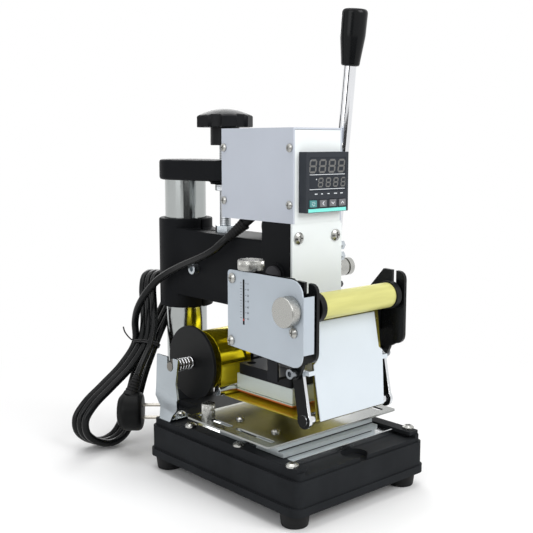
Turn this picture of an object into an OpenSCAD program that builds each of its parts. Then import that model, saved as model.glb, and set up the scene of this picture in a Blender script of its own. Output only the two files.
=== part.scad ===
// Bench-top hot foil stamping machine, in millimetres.
// +X is the machine's right, +Y its back and +Z up. The front faces -Y.
// The origin is on the surface that the feet stand on, under the middle of the machine's width and length.
// The pieces are drawn from the middle of the press head, and to_frame() moves each of them to that origin.

/* [Base] */
// Width of the base flange
base_w = 153; // [150:1:166]
// Depth of the base flange
base_d = 193; // [188:1:206]
// Height of the base rim above the table
base_top = 45; // [41:1:50]
// Wall of the base casting
base_wall = 6; // [4:0.5:8]
// Height of the flange round the foot of the base
flange_h = 6.5; // [4:0.5:9]
// Height of a rubber foot
foot_h = 12; // [8:1:15]
// Diameter of a rubber foot at its top
foot_d = 24; // [20:1:28]

/* [Column] */
// Diameter of the column
col_d = 39; // [34:1:40]
// Distance of the column behind the origin
col_y = 146.5; // [140:0.5:154]
// Height of the column socket above the rim
socket_h = 10; // [6:1:14]
// Bare column between the arm collar and the top bracket
col_gap = 36; // [30:0.1:45]
// Thickness of the top bracket
cap_h = 19; // [15:0.5:24]
// Diameter of the height rod
rod_d = 10; // [8:0.5:12]
// Distance of the height rod in front of the column
rod_offset = 60.5; // [57:0.5:66]
// Diameter of the star knob
star_d = 49; // [40:1:56]
// Height of the lobed part of the star knob
star_h = 14.6; // [12:0.5:18]

/* [Arm] */
// Diameter of the arm collar
collar_d = 51; // [46:0.5:54]
// Height of the arm collar
collar_h = 84.5; // [70:0.1:90]
// Width of the arm beam
beam_w = 44; // [40:1:48]
// Height of the arm beam
beam_h = 61; // [54:1:64]
// Width of the neck that holds the ram
neck_w = 55; // [50:1:60]
// Height of the neck
neck_h = 92.2; // [88:0.1:98]
// Front face of the neck casting, in front of the origin
neck_front = 30; // [29:0.5:32]

/* [Control box] */
// Width of the control box
box_w = 54.6; // [52:0.2:62]
// Depth of the control box
box_d = 89.5; // [84:0.1:96]
// Height of the control box
box_h = 75.7; // [70:0.1:82]
// Sheet thickness of the control box
box_t = 1.5; // [1:0.1:2]
// Side of the square controller bezel
bezel = 48; // [46:0.5:50]
// How far the bezel stands out of the box
bezel_out = 8.5; // [6:0.1:10]

/* [Head] */
// Gap between the work plate and the raised die
die_gap = 16.8; // [15:0.1:22]
// Press stroke of the ram
stroke = 13; // [10:0.5:13]
// Width of the heater block
head_w = 58; // [50:1:60]
// Depth of the heater block
head_d = 70; // [64:1:71]
// Height of the heater block
heater_h = 14.3; // [13:0.1:18]
// Thickness of the head plate
head_t = 9.5; // [8:0.5:12]
// Thickness of the die plate
die_t = 1.2; // [1:0.1:2]

/* [Lever] */
// Length of the lever from its pivot to the top of the grip
lever_len = 216; // [180:1:230]
// Diameter of the lever rod
lever_d = 10.5; // [9:0.5:12]
// Largest diameter of the grip
grip_d = 21.5; // [18:0.5:26]
// Length of the grip
grip_len = 46; // [40:1:55]
// Forward lean of the resting lever
lever_lean = 6; // [0:1:10]

/* [Foil] */
// Width of the foil
foil_w = 80; // [70:1:82]
// Diameter of the foil on the take-up spool
takeup_d = 20.5; // [18:0.5:22]
// Diameter of the foil on the supply core
supply_d = 52; // [36:1:53]
// Diameter of a supply flange
supply_flange_d = 64.6; // [58:0.2:66]
// Thickness of the foil web
foil_t = 0.3; // [0.2:0.1:0.4]
// Diameter of a guide rod
guide_d = 8.8; // [7:0.2:9]

/* [Feed] */
// Room between the feed plate's face and the plate behind it
feed_gap = 13.5; // [12.5:0.5:16]
// Thickness of the feed plate
feed_t = 1.2; // [1:0.1:1.6]
// Diameter of the feed knob
knob_d = 23; // [18:0.5:26]
// Length of the feed knob
knob_l = 8.5; // [8:0.5:14]
// Diameter of the feed-length thumb screw's head
thumb_d = 20.5; // [14:0.5:22]

/* [Bed] */
// Width of the sliding tray
tray_w = 128; // [126:1:132]
// Thickness of the sliding tray
tray_t = 2; // [1.5:0.1:2.4]
// Height of the bed rails with their feet
rail_h = 13; // [11:0.5:15]
// Width of the work plate
plate_w = 149; // [140:1:158]
// Depth of the work plate
plate_d = 105; // [100:1:112]
// Thickness of the work plate
plate_t = 1.5; // [1:0.1:2]
// Thickness of the side guide strips
strip_t = 3; // [2:0.1:3.2]

/* [Cord] */
// Diameter of the mains cord
cord_d = 7; // [5:0.5:7]
// Loops in the tied hank
hank_loops = 3; // [2:1:3]

/* [Hidden] */
$fn = 48;

// Clearances: screws and pins in their holes, running fits, and faces that slide past each other
pin_fit = 0.1;
run_fit = 0.1;
slide_gap = 0.3;
past = 1;

// Base levels
flange_top = foot_h + flange_h;
body_inset = 2.5;
rim_inset = 5.5;
rim_h = 6;
rim_z = base_top - rim_h;
base_floor = 6;
tongue_w = 53;
base_front = -89;
base_mid = base_front + base_d / 2;
base_back = col_y + tongue_w / 2;
frame_y = -(base_front + base_back) / 2;
foot_x = base_w / 2 - 14;
foot_ys = [base_front + 16, base_front + base_d - 13];
foot_taper = 3;

// Bed levels, from the tray up to the top of the work plate
tray_z = base_top - slide_gap - tray_t;
channel_z = tray_z - slide_gap;
tray_front = base_front + 22.7;
tray_len = 128;
strip_w = 11;
strip_x = tray_w / 2 - 4;
strip_y0 = base_front + 5;
strip_len = 146;
rim_screw_x = tray_w / 2 + slide_gap + 3.5;
rim_screw_ys = [-75.7, -13.5, 51];
rail_z = tray_z + tray_t;
rail_foot_h = 4;
rail_x0 = -tray_w / 2 + 1.5;
rail_x1 = tray_w / 2 - 18;
rail_depth = 32;
rail_ys = [-60, -14];
plate_z = rail_z + rail_h;
bed_top = plate_z + plate_t;
plate_y0 = -56.5;
slot_x = plate_w / 2 - 11;
slot_w = 5;
slot_len = 45;
slot_ys = [-50, 1];
thumb_ys = [32];
tray_pull = 60;

// Head levels, from the raised die up to the top of the head plate
head_y = 0.7;
die_z = bed_top + die_gap;
heater_z = die_z + die_t;
head_z = heater_z + heater_h;
head_top = head_z + head_t;

// Neck, arm, box and bracket levels
neck_z = head_top + 32;
neck_top = neck_z + neck_h;
neck_back = 5;
beam_z = neck_z + 14.5;
beam_top = beam_z + beam_h;
collar_z = neck_z + 1;
collar_top = collar_z + collar_h;
cap_z = collar_top + col_gap;
cap_top = cap_z + cap_h;
cap_r = col_d / 2 + 5;
cap_nose_r = 16;
cap_roof = 4;
rod_y = col_y - rod_offset;
rod_nut_h = 6;
rod_nut_d = 19.6;
stem_d = 26;
stem_h = 16.4;
stem_z = cap_top + 13.2;
star_z = stem_z + stem_h;
rod_bottom = beam_top - 22;
rod_well = 24;
arm_rise = 8;
col_seat = foot_h + 14;
clamp_y = rod_y + 15.2;
clamp_z = beam_z + 27.7;
clamp_d = 6;

// Ram with its rack window, and the pinion that drives it
pinion_z = neck_top - 43;
pinion_y = -13;
gear_m = 1.5;
gear_teeth = 12;
pitch_r = gear_m * gear_teeth / 2;
tooth_add = 1.2;
tooth_ded = 1.9;
tooth_half = 0.75;
tip_half = 0.4;
root_half = 1.2;
gear_w = 20;
ram_w = 22;
ram_front = -neck_front + slide_gap;
ram_back = 1;
ram_top = neck_top - 8;
window_front = pinion_y - pitch_r - tooth_ded;
window_back = pinion_y + pitch_r + tooth_add + 0.8;
window_z0 = pinion_z - pitch_r - tooth_add - 2;
window_z1 = pinion_z + pitch_r + tooth_add + stroke + 2;
shaft_d = 12;
bush_d = 16;
bush_flange_t = 1.5;
lever_x = 38;
hub_d = 15.5;
hub_x0 = neck_w / 2 + bush_flange_t + slide_gap;
hub_x1 = 58;
hub_groove_x = 51;

// Control box and controller
box_z = neck_top;
box_top = box_z + box_h;
box_y0 = -32.6;
box_y1 = box_y0 + box_d;
bezel_x = 2.6;
bezel_z = box_z + 32.6;
bezel_y = box_y0 - bezel_out;
case_side = 44.8;
case_depth = 68;
key_w = 7.6;
key_h = 5.6;
key_pitch = 11;
key_z = bezel_z - 16.8;
key_out = 0.8;
key_travel = 0.6;
key_deep = 3;
window_side = 41;
window_z = bezel_z + 6.2;
window_h = 27;
box_screw_ys = [-28.4, 53.5];
box_screw_zs = [box_z + 14.8, box_z + 59.7];
cover_screw_x = 21;
cover_screw_zs = [neck_top - 11.7];
cover_t = 2;
cover_z = neck_z + 28;
gland_at = [-17, 31, box_z];
gland_turn = [-130.2, 0, 32.9];
gland_d = 11;
gland_l = 20;

// Foil path: take-up axis, guide rods, supply axis
takeup_y = -72.8;
takeup_z = neck_z + 33;
spool_flange_d = takeup_d + 2.5;
spool_flange_t = 5.5;
journal_d = 4.4;
ear_gap = 3;
ear_x0 = foil_w / 2 + spool_flange_t + ear_gap;
ear_t = 3;
ear_x1 = ear_x0 + ear_t;
guide_z = die_z + 1.4;
front_rod_y = -67.5;
rear_rod_y = 40.6;
rear_rod_x = foil_w / 2 + 6;
web_gap = 0.15;
supply_y = 69;
supply_z = base_top + 53.5;
supply_flange_t = 3;
supply_flange_x = foil_w / 2 + 10.5;
core_d = 24;
supply_shaft_d = 8;
bracket_x = base_w / 2 - 1.5;
bracket_t = 2;
bracket_screw_xs = [base_w / 2 - 25.5, base_w / 2 - 14.5];
bracket_foot_x = base_w / 2 - 30.5;
bracket_knee_x = base_w / 2 - 6.5;
bracket_screw_y = 88;

// Feed mechanism between the feed plate and the left ear
back_x1 = -ear_x1;
back_t = 2;
back_x0 = back_x1 - back_t;
feed_x = feed_gap - back_x0;
feed_in = -feed_x + feed_t;
feed_top = neck_z + 56.6;
feed_back_y = 0.8;
feed_front_y = -85;
feed_bottom = neck_z - 4.6;
feed_dip = 4.5;
feed_flange_w = 11;
feed_screws = [[-5.2, feed_top - 6.4], [-3.6, feed_bottom + 4.4], [-76, feed_top - 39.3]];
standoff_d = 8;
adjust_x = back_x0 - 6;
adjust_y = -18.8;
adjust_d = 5;
thumb_h = 8;
pointer_z = feed_top - 38;
pointer_rise = 26;
pointer_h = 6;
pin_d = 4;
arm_reach = 40.3;
arm_x0 = back_x0 - 9;
arm_t = 3;
swing = asin(stroke / 2 / arm_reach);
shaft_out_d = 8;

// Cord: the lead runs from the gland over the arm to the hank; points chosen by hand
lead_start = [-28.1, 48.2, 207.9];
lead_route = [
    [-31.2, 53, 203.06], [-33.2, 60.2, 197.3], [-33.8, 69.5, 192.6], [-33.6, 82, 187.8], [-33, 96, 183],
    [-32.6, 108.5, 178.5], [-32.6, 120.5, 173.6], [-33.6, 132.5, 167.8], [-36, 144, 160.5], [-39, 153, 151.5],
    [-41.3, 162, 141], [-41, 171.5, 129], [-38.5, 179.5, 115.5], [-35.8, 183.3, 105]
];
hank_tie = [-33.5, 168.5, 94.5];
hank_up = [0.466, 0.396, 0.792];
hank_down = [0.566, -0.092, 0.82];
hank_wide = [0.857, 0, -0.506];
hank_deep = [-0.051, 0.99, -0.087];
hank_top_len = 78;
hank_low_len = 104;
hank_top_swell = 37;
hank_low_swell = 56;
hank_waist = 4.3;
hank_soft = 20;
hank_step = 8.4;
loop_rings = 24;
plug_at = [-75.5, 145, 41.5];
plug_turn = -41.6;
plug_neck = [12, 10, 31];
plug_top = plug_at + [
    plug_neck[0] * cos(plug_turn) - plug_neck[1] * sin(plug_turn),
    plug_neck[0] * sin(plug_turn) + plug_neck[1] * cos(plug_turn),
    plug_neck[2]];
tail_route = [[-42, 153.5, 90.8], [-48.1, 150.2, 85.1], [-54.2, 146.9, 79.4]];

module to_frame() translate([0, frame_y, 0]) children();

function lerp(a, b, t) = a + (b - a) * t;
function unit(v) = v / norm(v);

// Axis of the hank at a signed distance along it: up from the tie, or down to the floor
function hank_axis(s) = hank_tie + (hank_up + hank_down) / 2 * s
    + (hank_up - hank_down) / 2 * (sqrt(s * s + hank_soft * hank_soft) - hank_soft);

// A point on the loops: 90 degrees is the waist on the way down, 360 a whole loop
function hank_point(a) =
    let (c = cos(a), up = c > 0)
    let (s = c * (up ? hank_top_len : hank_low_len))
    let (w = sin(a) * (hank_waist + (up ? hank_top_swell : hank_low_swell) * c * c))
    let (layer = (hank_loops / 2 - (a - 90) / 360) * hank_step)
    hank_axis(s) - hank_wide * w + hank_deep * layer;

hank_turns = [for (i = [0 : hank_loops * loop_rings]) hank_point(90 + 360 * i / loop_rings)];
hank_path = concat(hank_turns, tail_route, [plug_top]);
hank_way = unit(hank_turns[1] - hank_turns[0]);
lead_path = concat([lead_start], lead_route, [hank_turns[0] - 4 * hank_way, hank_turns[0] - 0.1 * hank_way]);

// Least gap between turns that are not neighbours along the cord
hank_gap = min([for (i = [0 : len(hank_turns) - 1]) for (j = [i + 5 : 1 : len(hank_turns) - 1])
    norm(hank_turns[i] - hank_turns[j])]) - cord_d;
echo(hank_gap = hank_gap, hank_low = min([for (p = hank_turns) p[2]]) - cord_d / 2);

// Round tube swept along points; the reference direction is never along the path
module tube(path, d, sides, ref) {
    n = len(path);
    function tangent(i) = unit(path[min(i + 1, n - 1)] - path[max(i - 1, 0)]);
    function ring(i) =
        let (t = tangent(i), u = unit(cross(ref, t)), v = cross(t, u))
        [for (k = [0 : sides - 1]) path[i] + d / 2 * (u * cos(360 * k / sides) + v * sin(360 * k / sides))];
    points = concat([for (i = [0 : n - 1]) each ring(i)], [path[0], path[n - 1]]);
    function at(i, k) = i * sides + k % sides;
    sides_a = [for (i = [0 : n - 2]) for (k = [0 : sides - 1]) [at(i, k), at(i + 1, k), at(i + 1, k + 1)]];
    sides_b = [for (i = [0 : n - 2]) for (k = [0 : sides - 1]) [at(i, k), at(i + 1, k + 1), at(i, k + 1)]];
    ends = [for (k = [0 : sides - 1]) each [[n * sides, at(0, k), at(0, k + 1)],
        [n * sides + 1, at(n - 1, k + 1), at(n - 1, k)]]];
    polyhedron(points, concat(sides_a, sides_b, ends));
}

// Block with round upright corners, centred in plan, standing on z = 0
module round_block(w, d, h, r) {
    translate([-w / 2 + r, -d / 2, 0]) cube([w - 2 * r, d, h]);
    translate([-w / 2, -d / 2 + r, 0]) cube([w, d - 2 * r, h]);
    for (x = [-1, 1], y = [-1, 1])
        translate([x * (w / 2 - r), y * (d / 2 - r), 0]) cylinder(r = r, h = h);
}

// Cylinder along X from x0 to x1
module x_rod(d, x0, x1) translate([x0, 0, 0]) rotate([0, 90, 0]) cylinder(d = d, h = x1 - x0);

// Flat shape drawn in Y and Z, given thickness from x0 to x1
module yz_plate(x0, x1) translate([x0, 0, 0]) rotate([90, 0, 90]) linear_extrude(x1 - x0) children();

// Flat shape drawn in X and Z, given thickness from y0 to y1
module xz_plate(y0, y1) translate([0, y1, 0]) rotate([90, 0, 0]) linear_extrude(y1 - y0) children();

// Flat bar with round ends between two points
module bar(p, q, w) {
    v = q - p;
    translate(p) rotate(atan2(v[1], v[0])) translate([0, -w / 2]) square([norm(v), w]);
    translate(p) circle(d = w);
    translate(q) circle(d = w);
}

// Quarter arc of points about c, from angle a0 to a1
function arc(c, r, a0, a1) = [for (i = [0 : 4]) c + r * [cos(lerp(a0, a1, i / 4)), sin(lerp(a0, a1, i / 4))]];

// Pan-head screw: the head stands on z = 0, the shank goes down; the cross recess is cut in the head
module pan_screw(d, l) {
    head_d = 2 * d;
    head_h = 0.6 * d;
    difference() {
        union() {
            translate([0, 0, -l]) cylinder(d = d, h = l + 0.1);
            cylinder(d = head_d, h = head_h / 2);
            translate([0, 0, head_h / 2]) cylinder(d1 = head_d, d2 = 0.6 * head_d, h = head_h / 2);
        }
        for (a = [0, 90]) rotate(a) translate([-0.55 * d, -0.12 * d, head_h / 2])
            cube([1.1 * d, 0.24 * d, head_h]);
    }
}

// Socket-head screw with its hexagon recess, built like the pan-head one
module socket_screw(d, l) {
    head_d = 1.6 * d;
    difference() {
        union() {
            translate([0, 0, -l]) cylinder(d = d, h = l + 0.1);
            cylinder(d = head_d, h = d);
        }
        translate([0, 0, d / 2]) cylinder(d = 0.9 * d, h = d, $fn = 6);
    }
}

module screw_hole(d, l) translate([0, 0, -l]) cylinder(d = d + pin_fit, h = l + past);

// Places of the screws, shared by the screws and their holes
rim_d = 5;
bracket_screw_d = 4;
rim_l = 8;
module at_rim_screws() for (s = [-1, 1], y = rim_screw_ys)
    translate([s * rim_screw_x, y, base_top + strip_t]) children();
module at_bracket_screws() for (s = [-1, 1], x = bracket_screw_xs)
    translate([s * x, bracket_screw_y, base_top + bracket_t]) children();
pan_d = 4;
cover_screw_d = 4.8;
box_screw_d = 3.4;
module at_cover_screws() for (s = [-1, 1], z = cover_screw_zs)
    translate([s * cover_screw_x, -neck_front - cover_t, z]) rotate([90, 0, 0]) children();
module at_box_screws() for (s = [-1, 1], y = box_screw_ys, z = box_screw_zs)
    translate([s * box_w / 2, y, z]) rotate([0, s * 90, 0]) children();
module at_feed_screws() for (p = feed_screws)
    translate([-feed_x, p[0], p[1]]) rotate([0, -90, 0]) children();
ear_screw_d = 5;
ear_screws = [[-54, neck_z + 6], [-54, neck_z + 20]];
plate_screw_ys = [-33, 11];
plate_screw_d = 3.5;
module at_plate_screws() for (x = [rail_x0 + 16.5, rail_x1 - 2.8], y = plate_screw_ys)
    translate([x, y, bed_top]) children();
module at_ear_screws() for (s = [-1, 1], p = ear_screws)
    translate([s * ear_x1 - (s < 0 ? back_t : 0), p[0], p[1]]) rotate([0, s * 90, 0]) children();
guide_bolt = [-60, neck_z - 19];
module at_guide_bolts() for (s = [-1, 1])
    translate([s * ear_x1, guide_bolt[0], guide_bolt[1]]) rotate([0, s * 90, 0]) children();

// Base
module base_outline(inset) {
    offset_w = base_w - 2 * inset;
    offset_d = base_d - inset;
    r = 9 - inset;
    translate([0, base_mid]) {
        translate([-offset_w / 2 + r, -offset_d / 2]) square([offset_w - 2 * r, offset_d]);
        translate([-offset_w / 2, -offset_d / 2 + r]) square([offset_w, offset_d - 2 * r]);
        for (x = [-1, 1], y = [-1, 1])
            translate([x * (offset_w / 2 - r), y * (offset_d / 2 - r)]) circle(r = r);
    }
    translate([-tongue_w / 2 + inset, 0]) square([tongue_w - 2 * inset, col_y]);
    translate([0, col_y]) circle(d = tongue_w - 2 * inset);
}

module base_casting() to_frame() color([0.16, 0.17, 0.18]) difference() {
    union() {
        translate([0, 0, foot_h]) linear_extrude(flange_h) base_outline(0);
        translate([0, 0, foot_h]) linear_extrude(rim_z - foot_h) base_outline(body_inset);
        translate([0, 0, foot_h]) linear_extrude(base_top - foot_h) base_outline(rim_inset);
        translate([0, col_y, rim_z]) cylinder(d = tongue_w - 2, h = base_top + socket_h - rim_z);
    }
    difference() {
        translate([0, base_mid, foot_h - past])
            round_block(base_w - 2 * rim_inset - 2 * base_wall, base_d - 2 * rim_inset - 2 * base_wall,
                channel_z - base_floor - foot_h + past, 4);
        for (x = [-1, 1], y = foot_ys) translate([x * foot_x, y, 0]) cylinder(d = foot_d, h = base_top);
    }
    translate([-tray_w / 2 - slide_gap, base_front - past, channel_z])
        cube([tray_w + 2 * slide_gap, tray_front + tray_len - base_front + past + slide_gap, base_top]);
    translate([0, base_front + 13, channel_z - 4.5]) cylinder(r = 11, h = base_top);
    translate([0, col_y, col_seat]) cylinder(d = col_d + pin_fit, h = base_top + socket_h);
    translate([0, col_y, 0]) cylinder(d = 11, h = base_top);
    translate([0, col_y, foot_h - past]) cylinder(d = 22, h = 7 + past);
    at_rim_screws() screw_hole(rim_d, rim_l);
    at_bracket_screws() screw_hole(bracket_screw_d, rim_l);
}

module rubber_feet() to_frame() color([0.08, 0.08, 0.08])
    for (x = [-1, 1], y = foot_ys) translate([x * foot_x, y, 0])
        cylinder(d1 = foot_d - foot_taper, d2 = foot_d, h = foot_h);

module guide_strips() to_frame() color([0.12, 0.13, 0.14]) difference() {
    for (s = [-1, 1]) translate([s * (strip_x + strip_w / 2), strip_y0 + strip_len / 2, base_top])
        round_block(strip_w, strip_len, strip_t, 1);
    at_rim_screws() screw_hole(rim_d, rim_l);
}

module rim_screws() to_frame() color([0.75, 0.75, 0.76]) {
    at_rim_screws() pan_screw(rim_d, rim_l);
    at_bracket_screws() pan_screw(bracket_screw_d, rim_l);
}

module column() to_frame() color([0.85, 0.86, 0.88]) difference() {
    translate([0, col_y, col_seat]) cylinder(d = col_d, h = cap_top - cap_roof - col_seat);
    translate([0, col_y, col_seat - past]) cylinder(d = 10, h = 25 + past);
}

module cap_outline() {
    translate([0, col_y]) circle(r = cap_r);
    translate([0, rod_y]) circle(r = cap_nose_r);
    lean = asin((cap_r - cap_nose_r) / rod_offset);
    polygon([
        [cap_r * cos(lean), col_y - cap_r * sin(lean)], [-cap_r * cos(lean), col_y - cap_r * sin(lean)],
        [-cap_nose_r * cos(lean), rod_y - cap_nose_r * sin(lean)],
        [cap_nose_r * cos(lean), rod_y - cap_nose_r * sin(lean)]
    ]);
}

module top_cap() to_frame() color([0.12, 0.12, 0.13]) difference() {
    union() {
        translate([0, 0, cap_z]) linear_extrude(cap_h) cap_outline();
        translate([0, rod_y, cap_z - 2]) cylinder(r = cap_nose_r - 3, h = 2 + past);
    }
    translate([0, col_y, cap_z - past]) cylinder(d = col_d + pin_fit, h = cap_h - cap_roof + past);
    translate([0, rod_y, cap_z - 5]) cylinder(d = rod_d + run_fit, h = cap_h + 10);
}

// Bent sheet that carries one end of the supply shaft in an open notch: its front view, then its side view
module bracket_bend() polygon([
    [bracket_foot_x, base_top], [bracket_knee_x, base_top], [bracket_knee_x, base_top + 12],
    [bracket_x + bracket_t / 2, base_top + 24],
    [bracket_x + bracket_t / 2, supply_z + 8], [bracket_x - bracket_t / 2, supply_z + 8],
    [bracket_x - bracket_t / 2, base_top + 25], [bracket_knee_x - bracket_t, base_top + 13],
    [bracket_knee_x - bracket_t, base_top + bracket_t], [bracket_foot_x, base_top + bracket_t]]);

module bracket_side() difference() {
    polygon([[supply_y - 11.5, supply_z + 8], [supply_y + 19.5, supply_z + 8], [supply_y + 21.5, supply_z - 20],
        [supply_y + 26, base_top - 1], [supply_y + 11, base_top - 1], [supply_y + 6, base_top + 7],
        [supply_y - 3, base_top + 15], [supply_y - 10, base_top + 26], [supply_y - 7.5, supply_z - 14]]);
    translate([supply_y - supply_shaft_d / 2 - run_fit / 2, supply_z]) square([supply_shaft_d + run_fit, 30]);
    translate([supply_y, supply_z]) circle(d = supply_shaft_d + run_fit);
}

module roll_brackets() to_frame() color([0.82, 0.83, 0.85]) difference() {
    for (s = [0, 1]) mirror([s, 0, 0]) intersection() {
        xz_plate(0, 2 * supply_y) bracket_bend();
        yz_plate(bracket_foot_x - past, bracket_x + bracket_t) bracket_side();
    }
    at_bracket_screws() screw_hole(bracket_screw_d, rim_l);
}

// Cord pieces
module cord_hank() to_frame() color([0.06, 0.06, 0.07]) tube(hank_path, cord_d, 6, [0, 1, 0]);
module cord_lead() to_frame() color([0.06, 0.06, 0.07]) tube(lead_path, cord_d, 8, [1, 0, 0]);

// The plug: a round moulded body, seen edge on from the machine's front left, with a ribbed boot up to the cord
plug_body_d = 36;
plug_t = 21;
module in_plug() translate(plug_at) rotate([0, 0, plug_turn]) children();
module plug_body() to_frame() color([0.07, 0.07, 0.08]) in_plug() {
    rotate([0, 90, 0]) difference() {
        union() {
            cylinder(d = plug_body_d, h = plug_t - 6);
            translate([0, 0, -5]) cylinder(d1 = plug_body_d - 12, d2 = plug_body_d, h = 5);
            translate([0, 0, plug_t - 6]) cylinder(d1 = plug_body_d, d2 = plug_body_d - 4, h = 3);
        }
        for (s = [-1, 1]) translate([s * 6 - 0.8, -3.2, plug_t - 13]) cube([1.6 + pin_fit, 6.4 + pin_fit, 20]);
    }
    boot_foot = [6, 0, plug_body_d / 2 - 4];
    boot_top = plug_neck - [1.2, 1.2, 3.1];
    for (i = [0 : 4]) hull() {
        translate(lerp(boot_foot, boot_top, i / 5)) cylinder(d = 13 - i, h = 1, $fn = 20);
        translate(lerp(boot_foot, boot_top, (i + 0.8) / 5)) cylinder(d = 11.5 - i, h = 1, $fn = 20);
    }
}
module plug_pins() to_frame() color([0.8, 0.8, 0.78]) in_plug() rotate([0, 90, 0])
    for (s = [-1, 1]) translate([s * 6 - 0.75, -3.15, plug_t - 13]) cube([1.5, 6.3, 27]);

// Arm
module arm_casting() to_frame() color([0.12, 0.12, 0.13]) difference() {
    union() {
        translate([0, col_y, collar_z]) cylinder(d = collar_d, h = collar_h);
        translate([-beam_w / 2, 0, beam_z]) cube([beam_w, col_y, beam_h]);
        translate([-neck_w / 2, -neck_front, neck_z]) cube([neck_w, neck_front + neck_back, neck_h]);
        translate([-18, -50, neck_z + 1]) cube([36, 50 - neck_front + past, 24]);
        translate([-ear_x0, -60, neck_z + 1]) cube([2 * ear_x0, 11, 24]);
    }
    translate([0, col_y, collar_z - past]) cylinder(d = col_d + run_fit, h = collar_h + 2 * past);
    translate([-ram_w / 2 - slide_gap, -neck_front, neck_z - past])
        cube([ram_w + 2 * slide_gap, neck_front + ram_back + slide_gap, neck_h + 2 * past]);
    translate([0, pinion_y, pinion_z]) x_rod(bush_d + pin_fit, -neck_w, neck_w);
    translate([0, rod_y, rod_bottom - rod_well]) cylinder(d = rod_d + run_fit, h = beam_h);
    translate([-0.75, rod_y + rod_d / 2 + 1, collar_z - past])
        cube([1.5, rod_offset - rod_d / 2, collar_h + 2 * past]);
    translate([0, clamp_y, clamp_z]) x_rod(clamp_d + pin_fit, -beam_w, beam_w);
    at_cover_screws() screw_hole(cover_screw_d, 12);
    at_ear_screws() screw_hole(ear_screw_d, 20);
}

module arm_fasteners() to_frame() color([0.78, 0.79, 0.8]) {
    translate([0, rod_y, beam_top]) difference() {
        cylinder(d = rod_nut_d, h = rod_nut_h, $fn = 6);
        translate([0, 0, -past]) cylinder(d = rod_d + run_fit, h = rod_nut_h + 2 * past);
    }
    translate([-beam_w / 2, clamp_y, clamp_z]) rotate([0, -90, 0]) socket_screw(clamp_d, beam_w + 6);
    translate([beam_w / 2, clamp_y, clamp_z]) rotate([0, 90, 0]) difference() {
        cylinder(d = 2 * clamp_d, h = 5, $fn = 6);
        translate([0, 0, -past]) cylinder(d = clamp_d + pin_fit, h = 5 + 2 * past);
    }
}

module neck_cover() to_frame() color([0.93, 0.93, 0.92]) difference() {
    translate([-neck_w / 2, -neck_front - cover_t, cover_z]) cube([neck_w, cover_t, neck_top - cover_z]);
    at_cover_screws() screw_hole(cover_screw_d, 12);
}

module pan_screws() to_frame() color([0.8, 0.8, 0.78]) {
    at_cover_screws() pan_screw(cover_screw_d, 10);
    at_box_screws() pan_screw(box_screw_d, 2);
    at_feed_screws() pan_screw(pan_d, 8);
}

module shaft_bushes() to_frame() color([0.72, 0.58, 0.32])
    for (s = [-1, 1]) translate([0, pinion_y, pinion_z]) rotate([0, 0, s < 0 ? 180 : 0]) difference() {
        union() {
            x_rod(bush_d, ram_w / 2 + slide_gap, neck_w / 2);
            x_rod(bush_d + 4, neck_w / 2, neck_w / 2 + bush_flange_t);
        }
        x_rod(shaft_d + run_fit, 0, neck_w);
    }

// Control box
module box_chassis() to_frame() color([0.9, 0.91, 0.92]) difference() {
    inner_w = box_w - 2 * box_t - 0.2;
    union() {
        translate([-inner_w / 2, box_y0, box_z]) cube([inner_w, box_d, box_t]);
        for (y = [box_y0, box_y1 - box_t])
            translate([-inner_w / 2, y, box_z]) cube([inner_w, box_t, box_h - box_t - slide_gap]);
        for (s = [-1, 1], y = box_screw_ys, z = box_screw_zs)
            translate([s * (inner_w / 2 - 3) - 3, (y < 0 ? box_y0 : y - 4.5), z - 4])
                cube([6, (y < 0 ? y - box_y0 + 4 : box_y1 - y + 4.5), 8]);
    }
    translate([bezel_x - case_side / 2 - pin_fit, box_y0 - past, bezel_z - case_side / 2 - pin_fit])
        cube([case_side + 2 * pin_fit, 12, case_side + 2 * pin_fit]);
    at_box_screws() screw_hole(box_screw_d, 9);
    translate(gland_at) rotate(gland_turn) translate([0, 0, -10]) cylinder(d = gland_d - 3 + pin_fit, h = 20);
    translate([5, 36, box_z - past]) cylinder(d = 7 + pin_fit, h = 5);
}

module box_cover() to_frame() color([0.88, 0.89, 0.92]) difference() {
    translate([-box_w / 2, box_y0, box_z]) cube([box_w, box_d, box_h]);
    translate([-box_w / 2 + box_t, box_y0 - past, box_z - past])
        cube([box_w - 2 * box_t, box_d + 2 * past, box_h - box_t + past]);
    at_box_screws() screw_hole(box_screw_d, 9);
}

module controller_case() to_frame() color([0.2, 0.23, 0.26]) difference() {
    union() {
        translate([bezel_x - bezel / 2, bezel_y, bezel_z - bezel / 2]) cube([bezel, bezel_out, bezel]);
        translate([bezel_x - case_side / 2, box_y0 - 0.1, bezel_z - case_side / 2])
            cube([case_side, case_depth, case_side]);
    }
    translate([bezel_x - window_side / 2, bezel_y - past, window_z - window_h / 2])
        cube([window_side, past + 1.5, window_h]);
    for (i = [0 : 3])
        translate([key_x(i) - key_w / 2 - slide_gap, bezel_y - past, key_z - key_h / 2 - slide_gap])
        cube([key_w + 2 * slide_gap, past + key_deep + key_travel + slide_gap, key_h + 2 * slide_gap]);
}

module controller_window() to_frame() color([0.07, 0.08, 0.1])
    translate([bezel_x - window_side / 2, bezel_y + 0.3, window_z - window_h / 2])
        cube([window_side, 1.2, window_h]);

function key_x(i) = bezel_x + key_pitch * (i - 1.5);
module key(i) color([0.3, 0.36, 0.38])
    translate([key_x(i) - key_w / 2, bezel_y - key_out, key_z - key_h / 2])
        cube([key_w, key_out + key_deep, key_h]);
module key_1() to_frame() key(0);
module key_2() to_frame() key(1);
module key_3() to_frame() key(2);
module key_4() to_frame() key(3);

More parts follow.
